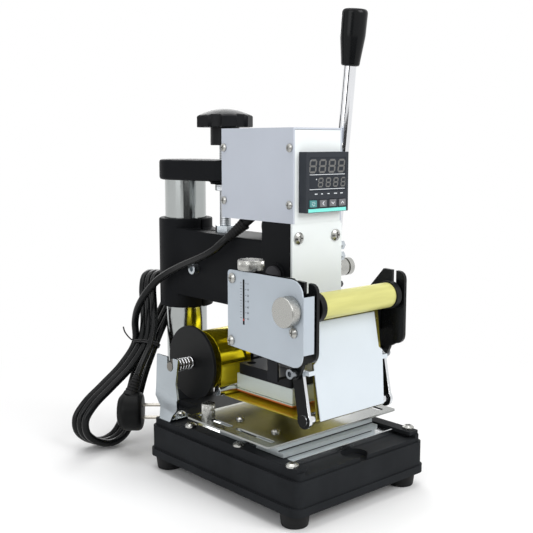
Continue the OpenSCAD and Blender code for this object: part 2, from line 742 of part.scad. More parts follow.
module cord_gland() to_frame() color([0.06, 0.06, 0.07]) translate(gland_at) rotate(gland_turn) {
    translate([0, 0, -5]) cylinder(d = gland_d - 3, h = 11.8);
    translate([0, 0, 6.7]) cylinder(d1 = gland_d, d2 = cord_d + 1, h = gland_l);
}

module heater_lead() to_frame() color([0.45, 0.46, 0.46]) translate([5, 36, beam_top])
    cylinder(d = 7, h = box_z + box_t - beam_top);

// Roller ears
module ear_shape() difference() {
    union() {
        polygon(concat(
            [[-47, takeup_z - 40], [-47, takeup_z + 4], [-61.5, takeup_z + 20]],
            arc([-77.5, takeup_z + 13], 6.5, 90, 180), arc([-76, takeup_z - 33], 8, 180, 270),
            [[-71, takeup_z - 44]]));
        bar([-64, takeup_z - 44], guide_bolt, 11);
    }
    translate([takeup_y - journal_d / 2 - run_fit / 2, takeup_z]) square([journal_d + run_fit, 40]);
    translate([takeup_y, takeup_z]) circle(d = journal_d + run_fit);
    translate([guide_bolt[0], guide_bolt[1]]) circle(d = ear_screw_d + pin_fit);
}

module roller_ears() to_frame() color([0.1, 0.1, 0.11]) difference() {
    for (s = [-1, 1]) yz_plate(s > 0 ? ear_x0 : -ear_x1, s > 0 ? ear_x1 : -ear_x0) ear_shape();
    at_ear_screws() screw_hole(ear_screw_d, 20);
}

module socket_screws() to_frame() color([0.7, 0.71, 0.72]) {
    at_ear_screws() socket_screw(ear_screw_d, 18);
    at_guide_bolts() socket_screw(ear_screw_d, ear_t + arm_strip_t);
}

// Feed mechanism
module feed_backplate() to_frame() color([0.13, 0.13, 0.14]) difference() {
    union() {
        yz_plate(back_x0, back_x1) polygon([
            [feed_back_y - 1, feed_bottom + 2], [feed_back_y - 1, feed_top - 2], [-60, feed_top - 2],
            [-82, feed_top - 14], [-82, feed_bottom + 14], [-76, feed_bottom + 4]]);
        for (z = [feed_top - 3.5, feed_bottom + 8])
            translate([feed_in + slide_gap, adjust_y - 12, z]) cube([back_x0 - feed_in, 26, 2.5]);
        for (p = feed_screws) translate([0, p[0], p[1]]) x_rod(standoff_d, feed_in, back_x0 + 0.1);
    }
    translate([0, takeup_y, takeup_z]) x_rod(shaft_out_d + 4, back_x0 - past, back_x1 + past);
    translate([back_x0 - past, takeup_y - 6, takeup_z]) cube([back_t + 2 * past, 12, 40]);
    translate([back_x0 - past, takeup_y + arm_reach - 4, takeup_z - 13]) cube([back_t + 2 * past, 8, 26]);
    translate([adjust_x, adjust_y, feed_bottom]) cylinder(d = adjust_d + run_fit, h = 80);
    at_feed_screws() screw_hole(pan_d, 10);
    at_ear_screws() screw_hole(ear_screw_d, 20);
}

module feed_plate() to_frame() color([0.74, 0.77, 0.8]) difference() {
    union() {
        yz_plate(-feed_x, feed_in) polygon(concat(
            arc([feed_back_y - 3, feed_top - 3], 3, 0, 90),
            arc([feed_front_y + 12, feed_top - 12], 12, 90, 180),
            arc([feed_front_y + 9, feed_bottom - feed_dip + 9], 9, 180, 270), [[feed_back_y, feed_bottom]]));
        translate([-feed_x, feed_front_y - feed_t + 0.1, feed_bottom + 6])
            cube([feed_flange_w, feed_t, feed_top - 12 - feed_bottom - 6]);
    }
    translate([-feed_x - past, adjust_y - 1, feed_top - 42]) cube([feed_t + 2 * past, 2, 36]);
    translate([0, takeup_y, takeup_z]) x_rod(shaft_out_d + 1, -feed_x - past, feed_in + past);
    at_feed_screws() screw_hole(pan_d, 10);
}

module feed_thumbscrew() to_frame() color([0.78, 0.77, 0.74]) translate([adjust_x, adjust_y, 0]) {
    translate([0, 0, feed_bottom + 5]) cylinder(d = adjust_d, h = feed_top - feed_bottom - 5);
    translate([0, 0, feed_top - 1 + slide_gap]) cylinder(d = 8, h = 2);
    translate([0, 0, feed_top + 1]) cylinder(d = thumb_d, h = thumb_h);
}

module feed_pointer() to_frame() color([0.8, 0.3, 0.2]) difference() {
    union() {
        translate([adjust_x - 4, adjust_y - 4.5, pointer_z - pointer_h / 2]) cube([8, 9, pointer_h]);
        translate([-feed_x - 0.4, adjust_y - 0.7, pointer_z - 0.8]) cube([feed_x + adjust_x, 1.4, 1.6]);
    }
    translate([adjust_x, adjust_y, pointer_z - 10]) cylinder(d = adjust_d + run_fit, h = 20);
}

module feed_arm() to_frame() color([0.6, 0.61, 0.62])
    translate([0, takeup_y, takeup_z]) rotate([swing, 0, 0]) yz_plate(arm_x0, arm_x0 + arm_t) difference() {
        union() {
            circle(d = 20);
            bar([0, 0], [arm_reach, 0], 10);
        }
        circle(d = shaft_out_d + run_fit);
        translate([arm_reach - 4, -pin_d / 2 - slide_gap]) square([20, pin_d + 2 * slide_gap]);
    }

// Take-up roller
module takeup_spool() to_frame() color([0.1, 0.1, 0.11]) translate([0, takeup_y, takeup_z]) {
    x_rod(shaft_out_d, -feed_x - knob_l + 2, -ear_x1 - 0.4);
    x_rod(journal_d, -ear_x1 - 0.5, ear_x1 + 1);
    for (s = [-1, 1]) x_rod(spool_flange_d, s > 0 ? foil_w / 2 : -foil_w / 2 - spool_flange_t,
        s > 0 ? foil_w / 2 + spool_flange_t : -foil_w / 2);
    x_rod(takeup_d - 4, -foil_w / 2, foil_w / 2);
}

module takeup_foil() to_frame() color([0.85, 0.83, 0.48]) translate([0, takeup_y, takeup_z]) difference() {
    x_rod(takeup_d, -foil_w / 2, foil_w / 2);
    x_rod(takeup_d - 4, -foil_w, foil_w);
}

module feed_knob() to_frame() color([0.82, 0.8, 0.75]) translate([0, takeup_y, takeup_z]) difference() {
    x_rod(knob_d, -feed_x - 0.6 - knob_l, -feed_x - 0.6);
    x_rod(shaft_out_d + pin_fit, -feed_x - knob_l + 1.9, -feed_x);
}

// Guide arms, hangers, rods, shield and web
arm_strip_t = 3;
module rod_arms() to_frame() color([0.1, 0.1, 0.11]) difference() {
    union() {
        for (s = [-1, 1])
            yz_plate(s > 0 ? ear_x0 - arm_strip_t : -ear_x0, s > 0 ? ear_x0 : -ear_x0 + arm_strip_t) {
                bar(guide_bolt, [front_rod_y, guide_z], 12);
                translate([front_rod_y, guide_z]) circle(d = guide_d + 5);
            }
        translate([-9, rear_rod_y - 3.8, guide_z]) cube([18, 4, beam_z - guide_z]);
        translate([-16, rear_rod_y - 3.8, beam_z - 4]) cube([32, 14, 4]);
    }
    translate([0, front_rod_y, guide_z]) x_rod(guide_d, -feed_x, feed_x);
    translate([0, rear_rod_y, guide_z]) x_rod(guide_d, -feed_x, feed_x);
    at_guide_bolts() screw_hole(ear_screw_d, 20);
}

module guide_rods() to_frame() color([0.85, 0.86, 0.87]) {
    translate([0, front_rod_y, guide_z]) x_rod(guide_d, -ear_x0 - 1, ear_x0 + 1);
    translate([0, rear_rod_y, guide_z]) x_rod(guide_d, -rear_rod_x - 1, rear_rod_x + 1);
}

// Front run of the foil, from the front of the lower rod to the back of the take-up roll
run_low = [front_rod_y - guide_d / 2 - web_gap - foil_t, guide_z];
run_top = [takeup_y + takeup_d / 2 + web_gap + foil_t, takeup_z];
function run_y(z) = lerp(run_low[0], run_top[0], (z - run_low[1]) / (run_top[1] - run_low[1]));
shield_t = 1;
shield_off = 1.2;
shield_w = foil_w / 2 - 1.5;
shield_z0 = guide_z - 1.5;
shield_step = guide_bolt[1] + 6;
shield_tab = 3.5;
shield_tab_z = guide_bolt[1] - shield_tab / 2;
shield_z1 = takeup_z - takeup_d / 2 - 3.5;
module foil_shield() to_frame() color([0.88, 0.91, 0.94]) {
    shield_sheet();
    tab_y = run_y(guide_bolt[1]) - shield_off - shield_t / 2;
    for (s = [0, 1]) mirror([s, 0, 0])
        translate([ear_x0 - arm_strip_t - 2, tab_y, shield_tab_z])
            cube([2, guide_bolt[0] + 3 - tab_y, shield_tab]);
}

module shield_sheet() intersection() {
    yz_plate(-ear_x0, ear_x0) polygon([
        [run_y(shield_z0) - shield_off, shield_z0], [run_y(shield_z1) - shield_off, shield_z1],
        [run_y(shield_z1) - shield_off - shield_t, shield_z1],
        [run_y(shield_z0) - shield_off - shield_t, shield_z0]]);
    xz_plate(-100, 0) union() {
        polygon([[-shield_w + 1.6, shield_z0], [shield_w - 1.6, shield_z0], [shield_w + 1.2, shield_step],
            [shield_w - 3, shield_step + 3], [shield_w - 5.5, shield_z1], [-shield_w + 5.5, shield_z1],
            [-shield_w + 3, shield_step + 3], [-shield_w - 1.2, shield_step]]);
        translate([-ear_x0 + arm_strip_t, shield_tab_z]) square([2 * (ear_x0 - arm_strip_t), shield_tab]);
    }
}

// One web of foil: supply roll, under both rods and the die, up to the take-up roll
module foil_web() to_frame() color([0.8, 0.68, 0.12]) {
    r_in = guide_d / 2 + web_gap;
    r_out = r_in + foil_t;
    from = [supply_y - supply_d / 2 - web_gap - foil_t, supply_z - 4];
    rear = [rear_rod_y, guide_z];
    front = [front_rod_y, guide_z];
    yz_plate(-foil_w / 2, foil_w / 2) polygon(concat(
        [from], arc(rear, r_out, 0, -90), arc(front, r_out, -90, -180), [run_top],
        [run_top + [foil_t, 0]], arc(front, r_in, -180, -90), arc(rear, r_in, -90, 0), [from - [foil_t, 0]]));
}

// Height rod and star knob
module star_knob() to_frame() color([0.07, 0.07, 0.08]) translate([0, rod_y, 0]) difference() {
    union() {
        translate([0, 0, stem_z]) cylinder(d = stem_d, h = stem_h + 1);
        translate([0, 0, star_z]) difference() {
            union() {
                cylinder(d = star_d, h = star_h - 6);
                translate([0, 0, star_h - 6]) cylinder(d1 = star_d, d2 = star_d - 22, h = 6);
            }
            for (a = [0 : 60 : 300]) rotate(a + 30) translate([star_d / 2 + 4, 0, -past])
                cylinder(d = 16, h = star_h + 2 * past);
        }
    }
    translate([0, 0, stem_z - past]) cylinder(d = rod_d + pin_fit, h = stem_h + 2 + past);
}

module height_rod() to_frame() color([0.75, 0.76, 0.77]) translate([0, rod_y, 0]) {
    translate([0, 0, rod_bottom]) cylinder(d = rod_d, h = star_z + 2 - rod_bottom);
    translate([0, 0, cap_z - 2 - slide_gap - rod_nut_h]) cylinder(d = rod_nut_d, h = rod_nut_h, $fn = 6);
}

// Lever and pinion
module gear_outline() {
    circle(r = pitch_r - tooth_ded);
    for (i = [0 : gear_teeth - 1]) rotate(360 * (i + 0.5) / gear_teeth) polygon([
        [pitch_r - tooth_ded - 1, -root_half], [pitch_r, -tooth_half], [pitch_r + tooth_add, -tip_half],
        [pitch_r + tooth_add, tip_half], [pitch_r, tooth_half], [pitch_r - tooth_ded - 1, root_half]]);
}

module pinion_shaft() to_frame() color([0.6, 0.61, 0.63]) translate([0, pinion_y, pinion_z]) {
    yz_plate(-gear_w / 2, gear_w / 2) gear_outline();
    x_rod(shaft_d, -neck_w / 2 - bush_flange_t - slide_gap, hub_x1 - 8);
    x_rod(shaft_d + 4, -neck_w / 2 - bush_flange_t - slide_gap - 3, -neck_w / 2 - bush_flange_t - slide_gap);
}

module lever_hub() to_frame() color([0.82, 0.82, 0.8]) translate([0, pinion_y, pinion_z]) difference() {
    x_rod(hub_d, hub_x0, hub_x1);
    x_rod(shaft_d + pin_fit, hub_x0 - past, hub_x1 - 7.9);
    difference() {
        x_rod(hub_d + 10, hub_groove_x, hub_groove_x + 2);
        x_rod(hub_d - 3, hub_groove_x - 1, hub_groove_x + 3);
    }
    rotate([lever_lean, 0, 0]) translate([lever_x, 0, shaft_d / 2])
        cylinder(d = lever_d - 3 + pin_fit, h = hub_d);
}

module lever_rod() to_frame() color([0.8, 0.81, 0.82])
    translate([0, pinion_y, pinion_z]) rotate([lever_lean, 0, 0])
    translate([lever_x, 0, 0]) {
        translate([0, 0, shaft_d / 2 + 0.2]) cylinder(d = lever_d - 3, h = hub_d / 2 - shaft_d / 2);
        translate([0, 0, hub_d / 2]) cylinder(d = lever_d, h = lever_len - grip_len - hub_d / 2);
        translate([0, 0, lever_len - grip_len - 0.1]) cylinder(d = lever_d - 2, h = 20);
    }

module lever_grip() to_frame() color([0.05, 0.05, 0.06])
    translate([0, pinion_y, pinion_z]) rotate([lever_lean, 0, 0])
    translate([lever_x, 0, lever_len - grip_len]) difference() {
        union() {
            cylinder(d1 = 15.5, d2 = grip_d, h = grip_len - 8);
            translate([0, 0, grip_len - 8]) cylinder(d = grip_d, h = 4);
            translate([0, 0, grip_len - 4]) cylinder(d1 = grip_d, d2 = grip_d - 7, h = 4);
        }
        translate([0, 0, -past]) cylinder(d = lever_d - 2 + pin_fit, h = 21);
    }

// Ram and head
module rack_tooth() polygon([[-0.5, -root_half], [tooth_ded, -tooth_half], [tooth_ded + tooth_add, -tip_half],
    [tooth_ded + tooth_add, tip_half], [tooth_ded, tooth_half], [-0.5, root_half]]);

module ram_slide() to_frame() color([0.55, 0.56, 0.58]) union() {
    difference() {
        translate([-ram_w / 2, ram_front, head_top]) cube([ram_w, ram_back - ram_front, ram_top - head_top]);
        translate([-ram_w, window_front, window_z0])
            cube([2 * ram_w, window_back - window_front, window_z1 - window_z0]);
    }
    for (i = [-2 : 4]) translate([0, window_front, pinion_z + i * PI * gear_m])
        yz_plate(-gear_w / 2, gear_w / 2) rack_tooth();
}

module head_plate() to_frame() color([0.18, 0.18, 0.2]) difference() {
    translate([0, head_y, head_z]) round_block(head_w, head_d - 4, head_t, 3);
    for (x = [-1, 1], y = [-1, 1])
        translate([x * (head_w / 2 - 8), head_y + y * (head_d / 2 - 10), head_z + head_t - 4])
        cylinder(d = 8, h = 10);
}

module heater_block() to_frame() color([0.86, 0.87, 0.88]) difference() {
    union() {
        translate([0, head_y, heater_z + 1.8]) round_block(head_w, head_d, heater_h - 1.8, 1);
        translate([0, head_y, heater_z + 1]) round_block(head_w - 3, head_d - 3, 1.8, 1);
        translate([0, head_y, heater_z]) round_block(head_w, head_d, 1, 1);
    }
    at_cartridges() x_rod(cartridge_d + pin_fit, -head_w / 2 + 6, head_w);
}

cartridge_d = 8;
module at_cartridges() for (y = [-18, 18]) translate([0, head_y + y, heater_z + 9]) children();
module heater_cartridges() to_frame() color([0.75, 0.74, 0.7])
    at_cartridges() x_rod(cartridge_d, -head_w / 2 + 6.1, head_w / 2 + 5);

module die_plate() to_frame() color([0.72, 0.3, 0.16])
    translate([0, head_y, die_z]) round_block(head_w, head_d, die_t, 1);

bracket_strip_x = -ear_x0 + 2.5;
module push_bracket() to_frame() color([0.78, 0.79, 0.8]) {
    pin_y = takeup_y + arm_reach * cos(swing);
    pin_z = takeup_z + stroke / 2;
    translate([bracket_strip_x - 1, -32, head_top]) cube([-bracket_strip_x - 13, 8, 2]);
    translate([bracket_strip_x - 1, -36, head_top]) cube([2, 12, pin_z + 5 - head_top]);
    translate([0, pin_y, pin_z]) x_rod(pin_d, arm_x0 - 0.5, bracket_strip_x);
}

// Supply roll
shaft_end = bracket_x + bracket_t / 2 + 0.6;
collar_ring_d = supply_shaft_d + 4;
collar_ring_t = 2;
shaft_collar_x = bracket_x - bracket_t / 2 - 0.4 - collar_ring_t / 2;
module supply_shaft() to_frame() color([0.8, 0.81, 0.82]) translate([0, supply_y, supply_z]) {
    x_rod(supply_shaft_d, -shaft_end, shaft_end);
    for (s = [-1, 1])
        x_rod(collar_ring_d, s * shaft_collar_x - collar_ring_t / 2, s * shaft_collar_x + collar_ring_t / 2);
}

module supply_flanges() to_frame() color([0.09, 0.09, 0.1]) translate([0, supply_y, supply_z])
    for (s = [-1, 1]) rotate([0, 0, s < 0 ? 180 : 0]) difference() {
        union() {
            x_rod(supply_flange_d, supply_flange_x, supply_flange_x + supply_flange_t);
            x_rod(core_d, foil_w / 2 + 0.1, supply_flange_x + 0.1);
        }
        x_rod(supply_shaft_d + pin_fit, 0, 100);
    }

module supply_foil() to_frame() color([0.78, 0.64, 0.1]) translate([0, supply_y, supply_z]) difference() {
    x_rod(supply_d, -foil_w / 2, foil_w / 2);
    x_rod(supply_shaft_d + pin_fit, -foil_w, foil_w);
}

spring_turns = 5;
spring_wire = 1.2;
spring_d = 10;
spring_x0 = -supply_flange_x - supply_flange_t - 0.3 - spring_wire / 2;
spring_x1 = -shaft_collar_x + collar_ring_t / 2 + 0.3 + spring_wire / 2;
spring_path = [for (i = [0 : 8 * spring_turns]) let (a = 45 * i)
    [lerp(spring_x0, spring_x1, i / (8 * spring_turns)),
        supply_y + spring_d / 2 * cos(a), supply_z + spring_d / 2 * sin(a)]];
module supply_spring() to_frame() color([0.8, 0.8, 0.8]) tube(spring_path, spring_wire, 6, [1, 0, 0]);

// Bed
module bed_tray() to_frame() color([0.8, 0.82, 0.83])
    union() {
        translate([-tray_w / 2, tray_front, tray_z]) cube([tray_w, tray_len, tray_t]);
        translate([-strip_x + 1.5, tray_front, tray_z + 0.1]) cube([2 * strip_x - 3, 1.2, tray_t + 2.3]);
    }

module bed_rails() to_frame() color([0.78, 0.8, 0.81]) difference() {
    rail_bodies();
    at_plate_screws() screw_hole(plate_screw_d, 8);
}

module rail_bodies() for (y = rail_ys) translate([0, y, rail_z]) {
    translate([rail_x0 + 5.5, 1, 0]) cube([rail_x1 - rail_x0 - 7.5, rail_depth - 2, rail_foot_h]);
    translate([rail_x0, 0, rail_foot_h]) cube([rail_x1 - rail_x0, rail_depth, 3.5]);
    translate([rail_x0, 6, rail_foot_h]) cube([rail_x1 - rail_x0, rail_depth - 6, rail_h - rail_foot_h]);
}

module work_plate() to_frame() color([0.8, 0.82, 0.83]) difference() {
    translate([0, plate_y0 + plate_d / 2, plate_z]) round_block(plate_w, plate_d, plate_t, 3);
    for (s = [-1, 1], y = slot_ys) translate([s * slot_x, y, plate_z - past]) {
        translate([-slot_w / 2, slot_w / 2, 0]) cube([slot_w, slot_len - slot_w, plate_t + 2 * past]);
        for (e = [slot_w / 2, slot_len - slot_w / 2]) translate([0, e, 0])
            cylinder(d = slot_w, h = plate_t + 2 * past);
    }
    at_plate_screws() screw_hole(plate_screw_d, 8);
}

module plate_screws() to_frame() color([0.8, 0.8, 0.78]) {
    for (s = [-1, 1], y = thumb_ys) translate([s * slot_x, y, bed_top]) {
        cylinder(d = 11, h = 13);
        translate([0, 0, -plate_t]) cylinder(d = slot_w - 2 * pin_fit, h = plate_t + 0.1);
        translate([0, 0, -plate_t - 2.5]) cylinder(d = 9, h = 2.5);
    }
    at_plate_screws() pan_screw(plate_screw_d, 7);
}

base_casting();
rubber_feet();
column();
top_cap();
guide_strips();
rim_screws();
roll_brackets();
cord_hank();
plug_body();
plug_pins();
arm_casting();
arm_fasteners();
neck_cover();
pan_screws();
shaft_bushes();
box_chassis();
box_cover();
controller_case();
controller_window();
cord_gland();
cord_lead();
heater_lead();
roller_ears();
socket_screws();
feed_backplate();
feed_plate();
rod_arms();
guide_rods();
foil_shield();
foil_web();
star_knob();
height_rod();
pinion_shaft();
lever_hub();
lever_rod();
lever_grip();
ram_slide();
head_plate();
heater_block();
heater_cartridges();
die_plate();
push_bracket();
feed_arm();
takeup_spool();
takeup_foil();
feed_knob();
feed_thumbscrew();
feed_pointer();
supply_shaft();
supply_flanges();
supply_foil();
supply_spring();
bed_tray();
bed_rails();
work_plate();
plate_screws();
key_1();
key_2();
key_3();
key_4();
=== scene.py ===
"""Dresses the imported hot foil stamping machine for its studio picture.

The scene is in metres, in the CAD frame. Sizes of pieces are written in millimetres,
and mm() and MM turn them into metres.
"""
import math

import bmesh
import bpy
from mathutils import Matrix, Vector


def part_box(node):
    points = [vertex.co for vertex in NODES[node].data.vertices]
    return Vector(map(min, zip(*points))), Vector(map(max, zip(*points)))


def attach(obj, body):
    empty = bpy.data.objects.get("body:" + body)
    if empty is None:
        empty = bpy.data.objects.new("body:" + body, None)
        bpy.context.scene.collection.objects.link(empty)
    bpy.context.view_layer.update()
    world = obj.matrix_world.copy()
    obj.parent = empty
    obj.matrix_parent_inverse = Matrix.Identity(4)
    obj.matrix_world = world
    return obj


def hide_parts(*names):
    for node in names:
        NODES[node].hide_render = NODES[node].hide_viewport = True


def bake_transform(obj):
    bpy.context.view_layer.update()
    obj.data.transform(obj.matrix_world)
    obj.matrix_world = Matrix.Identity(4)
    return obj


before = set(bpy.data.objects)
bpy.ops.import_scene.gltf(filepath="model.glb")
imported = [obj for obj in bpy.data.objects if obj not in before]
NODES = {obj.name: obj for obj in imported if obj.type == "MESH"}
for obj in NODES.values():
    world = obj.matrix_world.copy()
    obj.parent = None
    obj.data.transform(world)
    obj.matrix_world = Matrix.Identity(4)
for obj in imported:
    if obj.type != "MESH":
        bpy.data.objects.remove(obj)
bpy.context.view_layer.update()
MM = 0.001

# Pieces are drawn from the middle of the press head, as in the CAD source, and then moved to its origin
SHIFT = Vector((0, -42 * MM, 0))
RIGHT = (1, 0, 0)
LEFT = (-1, 0, 0)
TO_FRONT = (0, -1, 0)
TO_BACK = (0, 1, 0)
UP = (0, 0, 1)


def mm(*values):
    """A point given in millimetres."""
    return Vector(values) * MM


def add_object(name, data):
    """A new object in the scene."""
    obj = bpy.data.objects.new(name, data)
    bpy.context.scene.collection.objects.link(obj)
    return obj


# Camera of the photograph
CAMERA_AT = mm(-506.33, -539.89, 289.19)
CAMERA_YAW = math.radians(41.632)
CAMERA_PITCH = math.radians(7.975)
CAMERA_LENS = 59.82
CAMERA_SENSOR = 36
CAMERA_NEAR = 0.01
CAMERA_FAR = 20

camera = add_object("photo_camera", bpy.data.cameras.new("photo_camera"))
camera.data.lens = CAMERA_LENS
camera.data.sensor_width = CAMERA_SENSOR
camera.data.clip_start = CAMERA_NEAR
camera.data.clip_end = CAMERA_FAR
camera.location = CAMERA_AT + SHIFT
camera.rotation_euler = (math.pi / 2 - CAMERA_PITCH, 0, -CAMERA_YAW)
bpy.context.scene.camera = camera


# Mesh helpers
SAME_POINT = 1e-7
SHARP_EDGE = math.radians(40)
ROUND_STEPS = 5
TEXT_STEPS = 3


def add_mesh(name, verts, faces, smooth=True):
    """A new mesh object with outward faces."""
    mesh = bpy.data.meshes.new(name)
    mesh.from_pydata([tuple(Vector(v) + SHIFT) for v in verts], [], faces)
    shape = bmesh.new()
    shape.from_mesh(mesh)
    bmesh.ops.remove_doubles(shape, verts=shape.verts, dist=SAME_POINT)
    bmesh.ops.recalc_face_normals(shape, faces=shape.faces)
    shape.to_mesh(mesh)
    shape.free()
    if smooth:
        mesh.polygons.foreach_set("use_smooth", [True] * len(mesh.polygons))
        mesh.set_sharp_from_angle(angle=SHARP_EDGE)
    return add_object(name, mesh)


def around(n):
    """Angles of n points round a circle."""
    return [2 * math.pi * k / n for k in range(n)]


def ring_faces(rows, n, closed=False):
    """Faces between each ring of n points and the next, and from the last to the first if closed."""
    faces = []
    for i in range(rows if closed else rows - 1):
        a = i * n
        b = (i + 1) % rows * n
        faces += [(a + k, a + (k + 1) % n, b + (k + 1) % n, b + k) for k in range(n)]
    return faces


def end_faces(rows, n):
    """One face over the first ring and one over the last."""
    return [tuple(range(n)), tuple((rows - 1) * n + k for k in range(n))]


def stack(name, rings, place, closed=False, smooth=True):
    """A solid of rings about the local Z axis, each a list of radii and heights in millimetres."""
    n = len(rings[0])
    verts = []
    for ring in rings:
        verts += [place @ mm(r * math.cos(a), r * math.sin(a), h) for (r, h), a in zip(ring, around(n))]
    faces = ring_faces(len(rings), n, closed)
    if not closed:
        faces += end_faces(len(rings), n)
    return add_mesh(name, verts, faces, smooth)


def lathe(name, profile, place, steps):
    """A solid turned about the local Z axis from radii and heights in millimetres."""
    return stack(name, [[point] * steps for point in profile], place)


def rounded(corners, r):
    """A profile whose inner corners are rounded by r."""
    points = [Vector(corners[0])]
    for a, b, c in zip(corners, corners[1:], corners[2:]):
        a, b, c = Vector(a), Vector(b), Vector(c)
        cut = min(r, (a - b).length / 2, (c - b).length / 2)
        start = b + (a - b).normalized() * cut
        end = b + (c - b).normalized() * cut
        for k in range(ROUND_STEPS + 1):
            t = k / ROUND_STEPS
            points.append((1 - t) ** 2 * start + 2 * t * (1 - t) * b + t * t * end)
    points.append(Vector(corners[-1]))
    return points


def turned(name, corners, r, place, steps):
    """A turned solid whose profile starts and ends on the axis, with the corners between rounded by r."""
    return lathe(name, [tuple(p) for p in rounded(corners, r) if p.x > 0], place, steps)


def smooth_line(points, steps):
    """Centripetal Catmull-Rom curve through the points."""
    line = []
    ends = [2 * points[0] - points[1]] + list(points) + [2 * points[-1] - points[-2]]
    for i in range(len(points) - 1):
        a, b, c, d = ends[i:i + 4]
        t1 = math.sqrt((b - a).length)
        t2 = t1 + math.sqrt((c - b).length)
        t3 = t2 + math.sqrt((d - c).length)
        for k in range(steps):
            t = t1 + (t2 - t1) * k / steps
            ab = a.lerp(b, t / t1)
            bc = b.lerp(c, (t - t1) / (t2 - t1))
            cd = c.lerp(d, (t - t2) / (t3 - t2))
            abc = ab.lerp(bc, t / t2)
            bcd = bc.lerp(cd, (t - t1) / (t3 - t1))
            line.append(abc.lerp(bcd, (t - t1) / (t2 - t1)))
    line.append(points[-1])
    return line


def sweep(name, path, radius, sides):
    """A round closed tube along a path, in metres."""
    verts = []
    last = len(path) - 1
    across = (path[1] - path[0]).orthogonal()
    for i, point in enumerate(path):
        ahead = (path[min(i + 1, last)] - path[max(i - 1, 0)]).normalized()
        across = (across - ahead * across.dot(ahead)).normalized()
        up = ahead.cross(across)
        verts += [point + radius * (math.cos(a) * across + math.sin(a) * up) for a in around(sides)]
    return add_mesh(name, verts, ring_faces(len(path), sides) + end_faces(len(path), sides))


def facing(at, x_axis, y_axis):
    """A placement whose local X and Y axes point as given."""
    x = Vector(x_axis).normalized()
    y = Vector(y_axis).normalized()
    place = Matrix((x, y, x.cross(y))).transposed().to_4x4()
    place.translation = at
    return place


def along(at, axis):
    """A placement whose local Z axis points along axis."""
    place = Vector(axis).to_track_quat("Z", "Y").to_matrix().to_4x4()
    place.translation = at
    return place


def slab(name, outlines, depth, place):
    """Flat shapes in the local X and Y, given depth along local Z, as one mesh, in millimetres."""
    verts, faces = [], []
    for outline in outlines:
        n = len(outline)
        first = len(verts)
        verts += [place @ mm(x, y, 0) for x, y in outline]
        verts += [place @ mm(x, y, depth) for x, y in outline]
        faces.append(tuple(first + k for k in reversed(range(n))))
        faces.append(tuple(first + n + k for k in range(n)))
        for k in range(n):
            after = (k + 1) % n
            faces.append((first + k, first + after, first + n + after, first + n + k))
    return add_mesh(name, verts, faces, smooth=False)


def rect(x, y, w, h):
    """A rectangle by its centre and size."""
    return [(x - w / 2, y - h / 2), (x + w / 2, y - h / 2), (x + w / 2, y + h / 2), (x - w / 2, y + h / 2)]


def words(name, text, size, place, depth):
    """Plain figures as a mesh, in metres."""
    curve = bpy.data.curves.new(name, "FONT")
    curve.body = text
    curve.size = size
    curve.align_x = "CENTER"
    curve.align_y = "CENTER"
    curve.extrude = depth / 2
    curve.resolution_u = TEXT_STEPS
    maker = add_object(name + "_maker", curve)
    bpy.context.view_layer.update()
    mesh = bpy.data.meshes.new_from_object(maker.evaluated_get(bpy.context.evaluated_depsgraph_get()))
    bpy.data.objects.remove(maker)
    bpy.data.curves.remove(curve)
    mesh.name = name
    mesh.transform(Matrix.Translation(SHIFT) @ place)
    return add_object(name, mesh)


# Material helpers
def feed(tree, socket, value):
    """Links a node's output to a socket, or sets the socket's own value."""
    if isinstance(value, bpy.types.NodeSocket):
        tree.links.new(value, socket)
    else:
        socket.default_value = value


def add_math(tree, operation, *inputs):
    """A maths node; each input is a number or another node's output."""
    node = tree.nodes.new("ShaderNodeMath")
    node.operation = operation
    for socket, value in zip(node.inputs, inputs):
        feed(tree, socket, value)
    return node.outputs[0]


def axis_value(tree, vector, axis):
    """One coordinate of a vector output."""
    node = tree.nodes.new("ShaderNodeSeparateXYZ")
    tree.links.new(vector, node.inputs[0])
    return node.outputs[axis]


